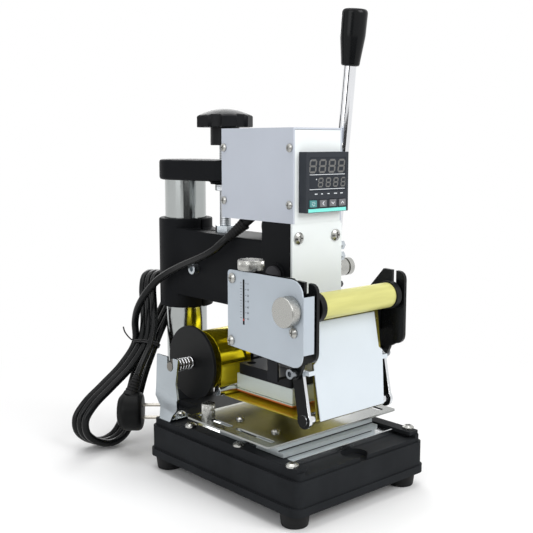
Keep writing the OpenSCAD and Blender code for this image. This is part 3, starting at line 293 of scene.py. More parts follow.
class Finish:
    """A node material under construction, with texture coordinates in millimetres."""

    def __init__(self, name):
        self.material = bpy.data.materials.new(name)
        self.material.use_nodes = True
        self.tree = self.material.node_tree
        self.shader = self.tree.nodes["Principled BSDF"]
        self.coords = self.tree.nodes.new("ShaderNodeTexCoord").outputs["Object"]

    def stretch(self, scale):
        """Texture coordinates in millimetres, times a scale."""
        node = self.tree.nodes.new("ShaderNodeMapping")
        node.inputs["Scale"].default_value = tuple(s / MM for s in scale)
        self.tree.links.new(self.coords, node.inputs["Vector"])
        return node.outputs["Vector"]

    def noise(self, scale, size=1.0, detail=3.0):
        """Cloudy noise."""
        node = self.tree.nodes.new("ShaderNodeTexNoise")
        self.tree.links.new(self.stretch(scale), node.inputs["Vector"])
        node.inputs["Scale"].default_value = size
        node.inputs["Detail"].default_value = detail
        return node.outputs["Fac"]

    def waves(self, axis, size, distort=0.0):
        """Bands across an axis."""
        node = self.tree.nodes.new("ShaderNodeTexWave")
        node.bands_direction = axis
        self.tree.links.new(self.stretch((1, 1, 1)), node.inputs["Vector"])
        node.inputs["Scale"].default_value = size
        node.inputs["Distortion"].default_value = distort
        return node.outputs["Fac"]

    def ramp(self, value, low, high, start=0.3, end=0.7):
        """A colour between two, by a value."""
        node = self.tree.nodes.new("ShaderNodeValToRGB")
        node.color_ramp.elements[0].position = start
        node.color_ramp.elements[1].position = end
        node.color_ramp.elements[0].color = (*low, 1)
        node.color_ramp.elements[1].color = (*high, 1)
        self.tree.links.new(value, node.inputs["Fac"])
        return node.outputs["Color"]

    def range(self, value, low, high):
        """A number between two, by a value."""
        node = self.tree.nodes.new("ShaderNodeMapRange")
        node.inputs["To Min"].default_value = low
        node.inputs["To Max"].default_value = high
        self.tree.links.new(value, node.inputs["Value"])
        return node.outputs["Result"]

    def set(self, socket, value):
        """Links or sets one of the shader's inputs."""
        feed(self.tree, self.shader.inputs[socket], value)

    def bump(self, height, strength, distance):
        """Adds a relief to those the shader has."""
        node = self.tree.nodes.new("ShaderNodeBump")
        node.inputs["Strength"].default_value = strength
        node.inputs["Distance"].default_value = distance * MM
        self.tree.links.new(height, node.inputs["Height"])
        if self.shader.inputs["Normal"].links:
            self.tree.links.new(self.shader.inputs["Normal"].links[0].from_socket, node.inputs["Normal"])
        self.set("Normal", node.outputs["Normal"])


def tone(color, factor):
    """A lighter or darker colour."""
    return tuple(min(1.0, c * factor) for c in color)


CLOUD_SCALE = (0.035, 0.035, 0.035)
CLOUD_DETAIL = 4
LEAST_ROUGH = 0.02


def surface(name, color, rough, metal=0.0, spread=0.06, grain=(1, 1, 1), grain_size=1.2, peel=0.08,
            depth=0.05, rough_spread=0.08, spec=0.5):
    """A finish with cloudy colour, uneven gloss and a fine relief; grain stretches the relief."""
    f = Finish(name)
    clouds = f.noise(CLOUD_SCALE, detail=CLOUD_DETAIL)
    f.set("Base Color", f.ramp(clouds, tone(color, 1 - spread), tone(color, 1 + spread)))
    fine = f.noise(grain, grain_size)
    low = max(LEAST_ROUGH, rough - rough_spread)
    high = min(1.0, rough + rough_spread)
    f.set("Roughness", f.range(fine, low, high))
    f.set("Metallic", metal)
    f.set("Specular IOR Level", spec)
    if peel:
        f.bump(fine, peel, depth)
    return f


BRUSHED_GRAIN = (0.03, 4.0, 4.0)


def brushed(name, color, rough):
    """Sheet metal with fine lines along X."""
    return surface(name, color, rough, metal=1.0, spread=0.05, grain=BRUSHED_GRAIN, grain_size=1.0,
                   peel=0.12, depth=0.02, rough_spread=0.1)


BROAD_FACE = 0.75
PAINTED_REFLECTION_BLACK = (0.005, 0.0055, 0.006, 1)


def dark_reflection_sides(name, back=None):
    """Bright metal, with a painted dark reflection in black on the faces that look along X, as far back as
    given.
    """
    f = surface(name, (0.7, 0.72, 0.74), 0.14, metal=1.0, spread=0.04, grain=(0.3, 0.3, 0.3),
                grain_size=1.0, peel=0.03, depth=0.03, rough_spread=0.04, spec=0.1)
    tree = f.tree
    normal = tree.nodes.new("ShaderNodeNewGeometry").outputs["True Normal"]
    sideways = add_math(tree, "ABSOLUTE", axis_value(tree, normal, "X"))
    black = add_math(tree, "GREATER_THAN", sideways, BROAD_FACE)
    if back is not None:
        ahead = add_math(tree, "LESS_THAN", axis_value(tree, f.coords, "Y"), back * MM)
        black = add_math(tree, "MULTIPLY", black, ahead)
    mix = tree.nodes.new("ShaderNodeMix")
    mix.data_type = "RGBA"
    mix.inputs["B"].default_value = PAINTED_REFLECTION_BLACK
    tree.links.new(black, mix.inputs["Factor"])
    tree.links.new(f.shader.inputs["Base Color"].links[0].from_socket, mix.inputs["A"])
    f.set("Base Color", mix.outputs["Result"])
    f.set("Metallic", f.range(black, 1.0, 0.0))
    return f


FOIL_CLOUDS = (0.012, 0.09, 0.09)
FOIL_GLOSS = (0.2, 0.2, 0.2)
FOIL_CREASES = (0.02, 0.2, 0.2)
FOIL_SHADES = (0.8, 1.1)
FOIL_ROUGH_SPREAD = 0.05


def foil(name, color, rough, metal):
    """Thin metal foil with soft creases across its width."""
    f = Finish(name)
    clouds = f.noise(FOIL_CLOUDS)
    f.set("Base Color", f.ramp(clouds, *[tone(color, shade) for shade in FOIL_SHADES]))
    f.set("Metallic", metal)
    gloss = f.noise(FOIL_GLOSS, detail=2)
    f.set("Roughness", f.range(gloss, rough - FOIL_ROUGH_SPREAD, rough + FOIL_ROUGH_SPREAD))
    f.bump(f.noise(FOIL_CREASES, detail=2), strength=0.1, distance=0.3)
    return f


# Radians of a wave texture's bands for each unit along its axis, at a scale of one
WAVE_RATE = 20


def threaded(name, color, pitch):
    """Steel with a thread's bands along Z."""
    f = surface(name, color, 0.3, metal=1.0)
    f.bump(f.waves("Z", 2 * math.pi / (WAVE_RATE * pitch)), strength=0.6, distance=0.4)
    return f


def braided(name):
    """A sleeve of steel wires that cross."""
    f = Finish(name)
    f.set("Base Color", f.ramp(f.waves("Z", 0.5, distort=1.5), (0.18, 0.18, 0.18), (0.5, 0.5, 0.49)))
    f.set("Metallic", 0.8)
    f.set("Roughness", 0.38)
    f.bump(f.waves("DIAGONAL", 0.45, distort=0.5), strength=0.5, distance=0.3)
    return f


# Finishes
PAINT_BLACK = surface("black_paint", (0.0075, 0.0082, 0.0095), 0.5, spread=0.12, grain_size=1.4, peel=0.12,
                      depth=0.06, rough_spread=0.06, spec=0.06)
CAST_BLACK = surface("black_casting", (0.017, 0.0185, 0.0205), 0.5, spread=0.15, grain_size=1.1, peel=0.22,
                     depth=0.1, spec=0.03)
SHEET_BLACK = surface("black_sheet", (0.005, 0.0055, 0.006), 0.26, spread=0.15, grain_size=1.6, peel=0.05,
                      depth=0.04, rough_spread=0.05, spec=0.2)
RUBBER = surface("rubber_foot", (0.009, 0.009, 0.0095), 0.62, spread=0.2, grain_size=2.2, peel=0.3,
                 depth=0.08, spec=0.2)
CORD_BLACK = surface("cord_jacket", (0.004, 0.0045, 0.005), 0.26, spread=0.2, grain_size=0.6, peel=0.06,
                     rough_spread=0.05, spec=0.2)
PLASTIC_BLACK = surface("black_plastic", (0.004, 0.0045, 0.005), 0.22, spread=0.12, grain_size=3.0,
                        peel=0.04, depth=0.03, rough_spread=0.05, spec=0.16)
KNOB_BLACK = surface("knob_plastic", (0.005, 0.0055, 0.0065), 0.42, spread=0.12, grain_size=0.3, peel=0.02,
                     depth=0.02, rough_spread=0.04, spec=0.15)
FLANGE_BLACK = surface("flange_plastic", (0.006, 0.0065, 0.007), 0.42, spread=0.12, grain_size=3.0,
                       peel=0.15, depth=0.03, rough_spread=0.06, spec=0.15)
CHROME = surface("chrome", (0.78, 0.79, 0.81), 0.1, metal=1.0, spread=0.03, grain=(0.4, 0.4, 0.03),
                 grain_size=1.0, peel=0.02, depth=0.02, rough_spread=0.03)
COLUMN_CHROME = surface("ground_chrome", (0.4, 0.42, 0.415), 0.16, metal=1.0, spread=0.04,
                        grain=(0.05, 0.05, 3), grain_size=1.0, peel=0.06, depth=0.02, rough_spread=0.04)
STEEL = surface("plain_steel", (0.4, 0.41, 0.43), 0.3, metal=1.0, spread=0.08, grain_size=1.5, peel=0.06,
                depth=0.03)
NICKEL = surface("nickel", (0.43, 0.43, 0.41), 0.27, metal=1.0, spread=0.05, grain_size=0.3, peel=0,
                 rough_spread=0.05)
ZINC = surface("zinc", (0.5, 0.54, 0.57), 0.28, metal=1.0, spread=0.1, grain_size=1.5, peel=0.06,
               depth=0.03)
BOLT_STEEL = surface("bolt_steel", (0.26, 0.28, 0.3), 0.3, metal=1.0, spread=0.1, grain_size=0.6,
                     peel=0.06, depth=0.03)
SHAFT_STEEL = surface("shaft_steel", (0.2, 0.19, 0.17), 0.4, metal=1.0, spread=0.1, grain_size=0.6,
                      peel=0.06, depth=0.03)
DARK_STEEL = surface("dark_steel", (0.05, 0.05, 0.055), 0.38, metal=0.7, spread=0.1, grain_size=1.5,
                     peel=0.06, depth=0.03, spec=0.3)
HEAD_BLACK = surface("blackened_steel", (0.007, 0.008, 0.0105), 0.4, spread=0.12, grain_size=1.5,
                     depth=0.04, rough_spread=0.06, spec=0.14)
BOX_WHITE = surface("box_paint", (0.51, 0.545, 0.61), 0.45, spread=0.015, grain_size=1.8, peel=0.06,
                    depth=0.03, rough_spread=0.05, spec=0.3)
COVER_WHITE = surface("cover_paint", (0.78, 0.82, 0.82), 0.42, spread=0.015, grain_size=1.8, peel=0.06,
                      depth=0.03, rough_spread=0.05, spec=0.3)
SHIELD_WHITE = surface("shield_paint", (0.6, 0.655, 0.7), 0.35, spread=0.015, grain_size=1.4, peel=0.05,
                       depth=0.03, rough_spread=0.05, spec=0.3)
FEED_SILVER = surface("feed_plate_silver", (0.44, 0.49, 0.54), 0.4, metal=0.15, spread=0.02,
                      grain=(0.05, 2, 2), grain_size=1.0, peel=0.05, depth=0.02, rough_spread=0.06,
                      spec=0.3)
HEATER_ALU = surface("heater_aluminium", (0.56, 0.62, 0.6), 0.42, metal=0.3, spread=0.04,
                     grain=BRUSHED_GRAIN, grain_size=1.0, peel=0.12, depth=0.02)
ALU = surface("milled_aluminium", (0.42, 0.46, 0.47), 0.36, metal=0.6, spread=0.04, grain=BRUSHED_GRAIN,
              grain_size=1.0, peel=0.12, depth=0.02)
BRACKET = surface("bright_sheet", (0.4, 0.44, 0.47), 0.22, metal=1.0, spread=0.05, grain=(0.3, 0.3, 0.05),
                  grain_size=1.0, peel=0.04, depth=0.03, rough_spread=0.05)
COPPER = surface("die_copper", (0.5, 0.12, 0.04), 0.4, metal=0.5, spread=0.15, grain_size=1.0, peel=0.1)
CASE_PLASTIC = surface("controller_plastic", (0.02, 0.024, 0.031), 0.45, grain_size=3.0, peel=0.15,
                       depth=0.03, rough_spread=0.06, spec=0.25)
WINDOW = surface("controller_sheet", (0.016, 0.02, 0.027), 0.16, spread=0.05, grain_size=0.5, peel=0,
                 rough_spread=0.03, spec=0.25)
SEGMENT = surface("unlit_segment", (0.12, 0.12, 0.115), 0.4, spread=0.08)
MARK = surface("white_print", (0.7, 0.73, 0.76), 0.5, spread=0.05)
TEAL = surface("teal_print", (0.2, 0.74, 0.66), 0.4, spread=0.05)
KEY_TEAL = surface("teal_key", (0.07, 0.25, 0.25), 0.42, spread=0.05, grain_size=3.0, peel=0.1, depth=0.03)
KEY_GREY = surface("grey_key", (0.13, 0.13, 0.14), 0.42, spread=0.05, grain_size=3.0, peel=0.1, depth=0.03)
# Black of the print, also used for the painted shadow strips along the front rail
PRINT_AND_SHADE_BLACK = surface("black_print_and_painted_shade", (0.012, 0.012, 0.013), 0.55, spread=0.1, spec=0.2)
POINTER_RED = surface("pointer_red", (0.4, 0.035, 0.025), 0.35)
TIE_GREY = surface("wire_tie", (0.02, 0.02, 0.021), 0.4, spread=0.1, spec=0.3)
PIN_METAL = surface("plug_pin_metal", (0.3, 0.28, 0.24), 0.25, metal=1.0, grain_size=2.0, peel=0.03,
                    depth=0.02)
PLUG_RUBBER = surface("plug_rubber", (0.0045, 0.0048, 0.005), 0.4, spread=0.12, grain_size=2.0, peel=0.1,
                      depth=0.04, rough_spread=0.06, spec=0.1)
TRAY_STEEL = brushed("tray_steel", (0.78, 0.8, 0.82), 0.2)
PLATE_STEEL = brushed("plate_steel", (0.3, 0.31, 0.3), 0.22)
# Chrome with a painted dark reflection in black on the faces that look along X
ARM_STRIP = dark_reflection_sides("strip_painted_reflection")
GUIDE_ROD = dark_reflection_sides("guide_rod_chrome_painted_reflection", back=-60)
# Front run of foil: darker gold, partly the spent foil's own colour and partly painted shade
GOLD_DARK = foil("spent_gold_foil_painted_shade", (0.3, 0.26, 0.05), 0.25, metal=0.7)
GOLD_RICH = foil("rich_gold_foil", (0.9, 0.74, 0.03), 0.2, metal=0.65)
GOLD_ROLL = foil("gold_foil_roll", (0.86, 0.7, 0.015), 0.16, metal=0.9)
PALE_ROLL = foil("pale_foil_roll", (0.6, 0.58, 0.2), 0.42, metal=0.3)
THREADED = threaded("threaded_rod", (0.5, 0.52, 0.54), pitch=1.5)
BRAID = braided("steel_braid")


def dress(obj, finish):
    """Gives an object one finish all over."""
    obj.data.materials.clear()
    obj.data.materials.append(finish.material)
    return obj


def piece(obj, finish, body):
    """A new piece of the object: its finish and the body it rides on."""
    dress(obj, finish)
    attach(obj, body)
    return obj


# Soft edges on the CAD solids
SMOOTH_ANGLE = math.radians(32)
FLAT_ANGLE = math.radians(0.5)
BEVEL_ANGLE = math.radians(40)
WELD_GAP = 1e-6
# From this width on, in millimetres, a bevel isn't held back where edges are close
WIDE_BEVEL = 1


def edge_group():
    """Node group that shades smooth except across edges sharper than SMOOTH_ANGLE."""
    group = bpy.data.node_groups.new("smooth_by_angle", "GeometryNodeTree")
    group.interface.new_socket("Geometry", in_out="INPUT", socket_type="NodeSocketGeometry")
    group.interface.new_socket("Geometry", in_out="OUTPUT", socket_type="NodeSocketGeometry")
    start = group.nodes.new("NodeGroupInput")
    end = group.nodes.new("NodeGroupOutput")
    angle = group.nodes.new("GeometryNodeInputMeshEdgeAngle")
    small = group.nodes.new("FunctionNodeCompare")
    small.operation = "LESS_THAN"
    small.inputs["B"].default_value = SMOOTH_ANGLE
    faces = group.nodes.new("GeometryNodeSetShadeSmooth")
    edges = group.nodes.new("GeometryNodeSetShadeSmooth")
    edges.domain = "EDGE"
    link = group.links.new
    link(angle.outputs["Unsigned Angle"], small.inputs["A"])
    link(start.outputs["Geometry"], faces.inputs["Geometry"])
    link(faces.outputs["Geometry"], edges.inputs["Geometry"])
    link(small.outputs["Result"], edges.inputs["Shade Smooth"])
    link(edges.outputs["Geometry"], end.inputs["Geometry"])
    return group


SMOOTH = edge_group()


def soften(obj, width):
    """Welds, smooths and bevels a CAD solid without touching its own vertices."""
    weld = obj.modifiers.new("weld", "WELD")
    weld.merge_threshold = WELD_GAP
    flat = obj.modifiers.new("flat", "DECIMATE")
    flat.decimate_type = "DISSOLVE"
    flat.angle_limit = FLAT_ANGLE
    smooth = obj.modifiers.new("smooth", "NODES")
    smooth.node_group = SMOOTH
    bevel = obj.modifiers.new("bevel", "BEVEL")
    bevel.width = width * MM
    bevel.segments = 2
    bevel.limit_method = "ANGLE"
    bevel.angle_limit = BEVEL_ANGLE
    bevel.harden_normals = True
    bevel.use_clamp_overlap = width < WIDE_BEVEL


# Finish and edge radius, in millimetres, of each CAD node that stays
KEPT = {
    "base_casting": (CAST_BLACK, 0.7), "rubber_feet": (RUBBER, 0.8), "column": (COLUMN_CHROME, 0.3),
    "top_cap": (PAINT_BLACK, 2.5), "guide_strips": (CAST_BLACK, 0.4), "rim_screws": (NICKEL, 0.2),
    "roll_brackets": (BRACKET, 0.25), "plug_pins": (PIN_METAL, 0.25), "arm_casting": (PAINT_BLACK, 1.6),
    "arm_fasteners": (ZINC, 0.25), "neck_cover": (COVER_WHITE, 0.35), "pan_screws": (NICKEL, 0.2),
    "shaft_bushes": (PAINT_BLACK, 0.2), "box_chassis": (COVER_WHITE, 0.25), "box_cover": (BOX_WHITE, 0.4),
    "controller_case": (CASE_PLASTIC, 0.35), "controller_window": (WINDOW, 0.1),
    "roller_ears": (SHEET_BLACK, 0.3), "socket_screws": (BOLT_STEEL, 0.25),
    "feed_backplate": (SHEET_BLACK, 0.25), "feed_plate": (FEED_SILVER, 0.2), "rod_arms": (ARM_STRIP, 0.5),
    "guide_rods": (GUIDE_ROD, 0.3), "foil_shield": (SHIELD_WHITE, 0.2), "height_rod": (THREADED, 0.2),
    "pinion_shaft": (DARK_STEEL, 0.1), "lever_hub": (NICKEL, 0.35), "lever_rod": (CHROME, 0.2),
    "ram_slide": (STEEL, 0.2), "head_plate": (HEAD_BLACK, 0.8), "heater_block": (HEATER_ALU, 0.3),
    "heater_cartridges": (STEEL, 0.2), "die_plate": (COPPER, 0.15), "push_bracket": (HEAD_BLACK, 0.2),
    "feed_arm": (STEEL, 0.2), "takeup_spool": (FLANGE_BLACK, 0.4), "takeup_foil": (PALE_ROLL, 0.15),
    "feed_knob": (NICKEL, 0.6), "feed_thumbscrew": (NICKEL, 0.4), "feed_pointer": (POINTER_RED, 0.15),
    "supply_shaft": (SHAFT_STEEL, 0.3), "supply_flanges": (FLANGE_BLACK, 0.5),
    "supply_foil": (GOLD_ROLL, 0.2), "bed_tray": (TRAY_STEEL, 0.15), "bed_rails": (ALU, 0.12),
    "work_plate": (PLATE_STEEL, 0.15), "plate_screws": (NICKEL, 0.25), "key_1": (KEY_TEAL, 0.35),
    "key_2": (KEY_GREY, 0.35), "key_3": (KEY_GREY, 0.35), "key_4": (KEY_GREY, 0.35),
}
for node, (look, width) in KEPT.items():
    dress(NODES[node], look)
    soften(NODES[node], width)


# Mains cord: the CAD source's route, but for the lead's last point
CORD_D = 7 * MM
CORD_SIDES = 14
CORD_STEPS = 6
LEAD = [mm(*p) for p in [
    (-28.1, 48.2, 207.9), (-31.2, 53, 203.06), (-33.2, 60.2, 197.3), (-33.8, 69.5, 192.6),
    (-33.6, 82, 187.8), (-33, 96, 183), (-32.6, 108.5, 178.5), (-32.6, 120.5, 173.6),
    (-33.6, 132.5, 167.8), (-36, 144, 160.5), (-39, 153, 151.5), (-41.3, 162, 141),
    (-41, 171.5, 129), (-38.5, 179.5, 115.5), (-35.8, 183.3, 105)]]
HANK_TIE = mm(-33.5, 168.5, 94.5)
HANK_UP = Vector((0.466, 0.396, 0.792))
HANK_DOWN = Vector((0.566, -0.092, 0.82))
HANK_WIDE = Vector((0.857, 0, -0.506))
HANK_DEEP = Vector((-0.051, 0.99, -0.087))
HANK_TOP = 78 * MM
HANK_LOW = 104 * MM
TOP_SWELL = 37 * MM
LOW_SWELL = 56 * MM
HANK_WAIST = 4.3 * MM
HANK_SOFT = 20 * MM
HANK_STEP = 8.4 * MM
HANK_LOOPS = 3
LOOP_RINGS = 24
PLUG_AT = mm(-75.5, 145, 41.5)
PLUG_TURN = math.radians(-41.6)
PLUG_TOP = PLUG_AT + Matrix.Rotation(PLUG_TURN, 3, "Z") @ mm(12, 10, 31)
TAIL = [mm(-42, 153.5, 90.8), mm(-48.1, 150.2, 85.1), mm(-54.2, 146.9, 79.4)]


def hank_axis(s):
    """A point on the hank's bent middle line, at a distance above or below the tie."""
    bend = math.sqrt(s * s + HANK_SOFT ** 2) - HANK_SOFT
    return HANK_TIE + (HANK_UP + HANK_DOWN) / 2 * s + (HANK_UP - HANK_DOWN) / 2 * bend


def hank_point(turns):
    """A point on the loops, counted in turns from the waist."""
    a = math.pi / 2 + 2 * math.pi * turns
    c = math.cos(a)
    reach, swell = (HANK_TOP, TOP_SWELL) if c > 0 else (HANK_LOW, LOW_SWELL)
    w = math.sin(a) * (HANK_WAIST + swell * c * c)
    return hank_axis(c * reach) - HANK_WIDE * w + HANK_DEEP * (HANK_LOOPS / 2 - turns) * HANK_STEP


HANK = [hank_point(i / LOOP_RINGS) for i in range(HANK_LOOPS * LOOP_RINGS + 1)]
# The lead's last point is left out, so that the bend into the first loop is wider
route = smooth_line(LEAD[:-1] + HANK + TAIL + [PLUG_TOP], CORD_STEPS)
cord = dress(sweep("mains_cord", route, CORD_D / 2, CORD_SIDES), CORD_BLACK)
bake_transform(cord)
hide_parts("cord_lead", "cord_hank")


def ribs(count, radius, taper, start, pitch, rib):
    """Profile points of ribs that get smaller; rib has the steps in radius and height along one."""
    return [(radius - taper * i + dr, start + pitch * i + dh) for i in range(count) for dr, dh in rib]


# Strain relief: a ribbed taper out of the box's floor
GLAND_AT = mm(-17, 31, 225.2)
GLAND_WAY = (LEAD[0] - GLAND_AT).normalized()
GLAND_FOOT = [(3.9, -5), (3.9, 6.7), (5.5, 6.8), (5.5, 8.6)]
GLAND_RIB = [(-0.45, 0), (0, 0.5), (0, 1.7), (-0.45, 2.2)]
GLAND_TIP = [(3.95, 25.8), (3.7, 26.6)]
GLAND_STEPS = 32
gland_ribs = ribs(count=6, radius=5.1, taper=0.22, start=9.2, pitch=2.7, rib=GLAND_RIB)
gland_profile = GLAND_FOOT + gland_ribs + GLAND_TIP
gland = lathe("strain_relief", gland_profile, along(GLAND_AT, GLAND_WAY), GLAND_STEPS)
piece(gland, RUBBER, "arm")
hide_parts("cord_gland")

# Plug: a round moulded body with a ribbed boot
PLUG_X = Vector((math.cos(PLUG_TURN), math.sin(PLUG_TURN), 0))
PLUG_SHAPE = [(0, -5), (12, -5), (18, 0.4), (18, 15), (16, 18), (0, 18)]
PLUG_ROUND = 2.6
PLUG_STEPS = 56
plug = turned("plug_shell", PLUG_SHAPE, PLUG_ROUND, along(PLUG_AT, PLUG_X), PLUG_STEPS)
piece(plug, PLUG_RUBBER, "base")
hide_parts("plug_body")
BOOT_FOOT = PLUG_AT + PLUG_X * 6 * MM + mm(0, 0, 14)
BOOT_LOW = [(7.2, 0), (6.6, 3.4)]
BOOT_RIB = [(-0.6, 0), (0, 0.4), (-0.1, 1.7), (-0.7, 2.1)]
BOOT_NECK = (4.0, 19.2)
BOOT_TIP_R = 3.75
BOOT_SHORT = 0.2
BOOT_STEPS = 32
boot_way = PLUG_TOP - BOOT_FOOT
boot_ribs = ribs(count=5, radius=6.1, taper=0.45, start=4.6, pitch=2.9, rib=BOOT_RIB)
boot_profile = BOOT_LOW + boot_ribs + [BOOT_NECK, (BOOT_TIP_R, boot_way.length / MM - BOOT_SHORT)]
boot = lathe("plug_boot", boot_profile, along(BOOT_FOOT, boot_way), BOOT_STEPS)
piece(boot, RUBBER, "base")

# Wire tie round the waist of the hank, with a loose end
TIE_TURNS = 2
TIE_STEPS = 30
TIE_WIDE = 8.9
TIE_DEEP = 17.4
TIE_PITCH = 1.9
TIE_WIRE_R = 0.8 * MM
TIE_END_R = 0.7 * MM
TIE_END_STEPS = 6
TIE_SIDES = 8
TIE_END = [mm(0, 0, 0), mm(-3, 1, -1), mm(-8, 5, 2), mm(-12, 9, 9), mm(-13, 10, 14)]
KNOT_WIDE = 9
KNOT_DEEP = 2
tie_axis = (HANK_UP + HANK_DOWN).normalized()
tie_wide = (HANK_WIDE - tie_axis * HANK_WIDE.dot(tie_axis)).normalized()
tie_deep = tie_axis.cross(tie_wide)


def tie_point(turns):
    """A point on the tie, counted in turns from its start."""
    a = 2 * math.pi * turns
    out = tie_wide * TIE_WIDE * math.cos(a) + tie_deep * TIE_DEEP * math.sin(a)
    return HANK_TIE + (out + tie_axis * TIE_PITCH * (turns - 1)) * MM


tie_line = [tie_point(i / TIE_STEPS) for i in range(TIE_TURNS * TIE_STEPS + 1)]
tie = piece(sweep("cord_tie", tie_line, TIE_WIRE_R, TIE_SIDES), TIE_GREY, "base")
knot = HANK_TIE - (tie_wide * KNOT_WIDE + tie_deep * KNOT_DEEP) * MM
loose = smooth_line([knot + p for p in TIE_END], TIE_END_STEPS)
tie_end = piece(sweep("tie_end", loose, TIE_END_R, TIE_SIDES), TIE_GREY, "base")


# Foil web, in pieces that follow the arm, the head or the base
FOIL_HALF = 39.5 * MM
FOIL_T = 0.24 * MM
FOIL_COLUMNS = 8
GUIDE_Z = 77.4
FRONT_Y = -67.5
REAR_Y = 40.6
WRAP_R = 4.72
HEAD_FRONT = -34.3
HEAD_BACK = 35.7
WEB_LOW = GUIDE_Z - WRAP_R
TAKEUP_RUN = (-62.3, 166)
SUPPLY_AXIS = (69, 98.5)
SUPPLY_WEB_R = 26.35
SUPPLY_TOUCH = 195.6
SUPPLY_END = 180
RUN_STEPS = 10
IN_STEPS = 14
HEAD_STEPS = 8
WRAP_STEPS = 8
ROLL_STEPS = 6


def ribbon(name, line):
    """A closed strip of foil along points in Y and Z, across the foil's width."""
    columns = FOIL_COLUMNS
    verts, faces = [], []
    last = len(line) - 1
    for i, (y, z) in enumerate(line):
        before = Vector(line[max(i - 1, 0)])
        after = Vector(line[min(i + 1, last)])
        way = (after - before).normalized()
        side = Vector((0, -way.y, way.x)) * FOIL_T / 2
        for sign in (1, -1):
            for k in range(columns + 1):
                x = FOIL_HALF * (2 * k / columns - 1)
                verts.append(Vector((x, y * MM, z * MM)) + side * sign)
    row = 2 * (columns + 1)
    for i in range(last):
        a = i * row
        b = a + row
        for k in range(columns):
            faces.append((a + k, a + k + 1, b + k + 1, b + k))
            low = columns + 1 + k
            faces.append((a + low, b + low, b + low + 1, a + low + 1))
        faces.append((a, b, b + columns + 1, a + columns + 1))
        faces.append((a + columns, a + row - 1, b + row - 1, b + columns))
    for a in (0, last * row):
        for k in range(columns):
            faces.append((a + k, a + k + 1, a + columns + 2 + k, a + columns + 1 + k))
    return add_mesh(name, verts, faces)


def between(a, b, steps):
    """Points from a to b in even steps."""
    return [(a[0] + (b[0] - a[0]) * i / steps, a[1] + (b[1] - a[1]) * i / steps) for i in range(steps + 1)]


def arc(centre, r, start, end, steps):
    """Points round a centre in Y and Z, angles in degrees."""
    turns = [math.radians(start + (end - start) * i / steps) for i in range(steps + 1)]
    return [(centre[0] + r * math.cos(a), centre[1] + r * math.sin(a)) for a in turns]


def wrap(y, start, end):
    """Points round a guide rod, angles in degrees."""
    return arc((y, GUIDE_Z), WRAP_R, start, end, WRAP_STEPS)


front_line = between(TAKEUP_RUN, (FRONT_Y - WRAP_R, GUIDE_Z), RUN_STEPS)[:-1] + wrap(FRONT_Y, 180, 270)
web_front = piece(ribbon("web_front", front_line), GOLD_DARK, "arm")
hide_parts("foil_web")
web_in = dress(ribbon("web_in", between((FRONT_Y, WEB_LOW), (HEAD_FRONT, WEB_LOW), IN_STEPS)), GOLD_RICH)
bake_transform(web_in)
mid_line = between((HEAD_FRONT, WEB_LOW), (HEAD_BACK, WEB_LOW), HEAD_STEPS)
web_mid = piece(ribbon("web_mid", mid_line), GOLD_RICH, "ram")
web_out = dress(ribbon("web_out", between((HEAD_BACK, WEB_LOW), (REAR_Y, WEB_LOW), HEAD_STEPS)), GOLD_RICH)
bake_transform(web_out)
web_turn = piece(ribbon("web_turn", wrap(REAR_Y, 270, 360)), GOLD_RICH, "arm")
rear_start = (REAR_Y + WRAP_R, GUIDE_Z)
roll_arc = arc(SUPPLY_AXIS, SUPPLY_WEB_R, SUPPLY_TOUCH, SUPPLY_END, ROLL_STEPS)
web_up = dress(ribbon("web_up", between(rear_start, roll_arc[0], RUN_STEPS) + roll_arc[1:]), GOLD_RICH)
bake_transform(web_up)


# Supply spring: wire coils between the left flange and its bracket
SPRING_START = -54.6
SPRING_END = -70.7
SPRING_TURNS = 5.5
SPRING_RINGS = 24
SPRING_R = 5
SPRING_WIRE_R = 0.6 * MM
SPRING_SIDES = 10
SPRING_CLOSED = 0.1


def spring_point(share):
    """A point on the coil at a share of its turns; its ends are wound closer."""
    a = 2 * math.pi * SPRING_TURNS * share
    if not SPRING_CLOSED < share < 1 - SPRING_CLOSED:
        share = share * share * (3 - 2 * share)
    x = SPRING_START + (SPRING_END - SPRING_START) * share
    return mm(x, SUPPLY_AXIS[0] + SPRING_R * math.cos(a), SUPPLY_AXIS[1] + SPRING_R * math.sin(a))


coil_rings = int(SPRING_TURNS * SPRING_RINGS)
coil = [spring_point(i / coil_rings) for i in range(coil_rings + 1)]
spring = piece(sweep("supply_coil", coil, SPRING_WIRE_R, SPRING_SIDES), CHROME, "supply")
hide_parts("supply_spring")


# Star knob: six flat-faced lobes cut from one dome, on a round stem
KNOB_FOOT = mm(0, 86, 0)
STEM_LOW = 286.7
STEM_R = 13
STAR_LOW = 302.6
STAR_RIM = 9.8
STAR_DOME = 6.6
STAR_R = 25.2
STAR_EDGE = 0.6
LOBES = 6
LOBE_STEPS = 12
LOBE_HALF = 3
LOBE_IN = 2.6
DOME_SHARES = (0.9, 0.8, 0.68, 0.55, 0.42, 0.3, 0.18, 0.07)


def star_radius(k):
    """Radius at one of the steps round the knob: a flat lobe, a short side and a round valley."""
    off = abs((k + LOBE_STEPS / 2) % LOBE_STEPS - LOBE_STEPS / 2)
    step = 2 * math.pi / (LOBES * LOBE_STEPS)
    if off <= LOBE_HALF:
        return STAR_R * math.cos(LOBE_HALF * step) / math.cos(off * step)
    return STAR_R - LOBE_IN


def on_dome(r):
    """Height of the dome at a radius."""
    return STAR_LOW + STAR_RIM + STAR_DOME * (1 - (r / STAR_R) ** 2)


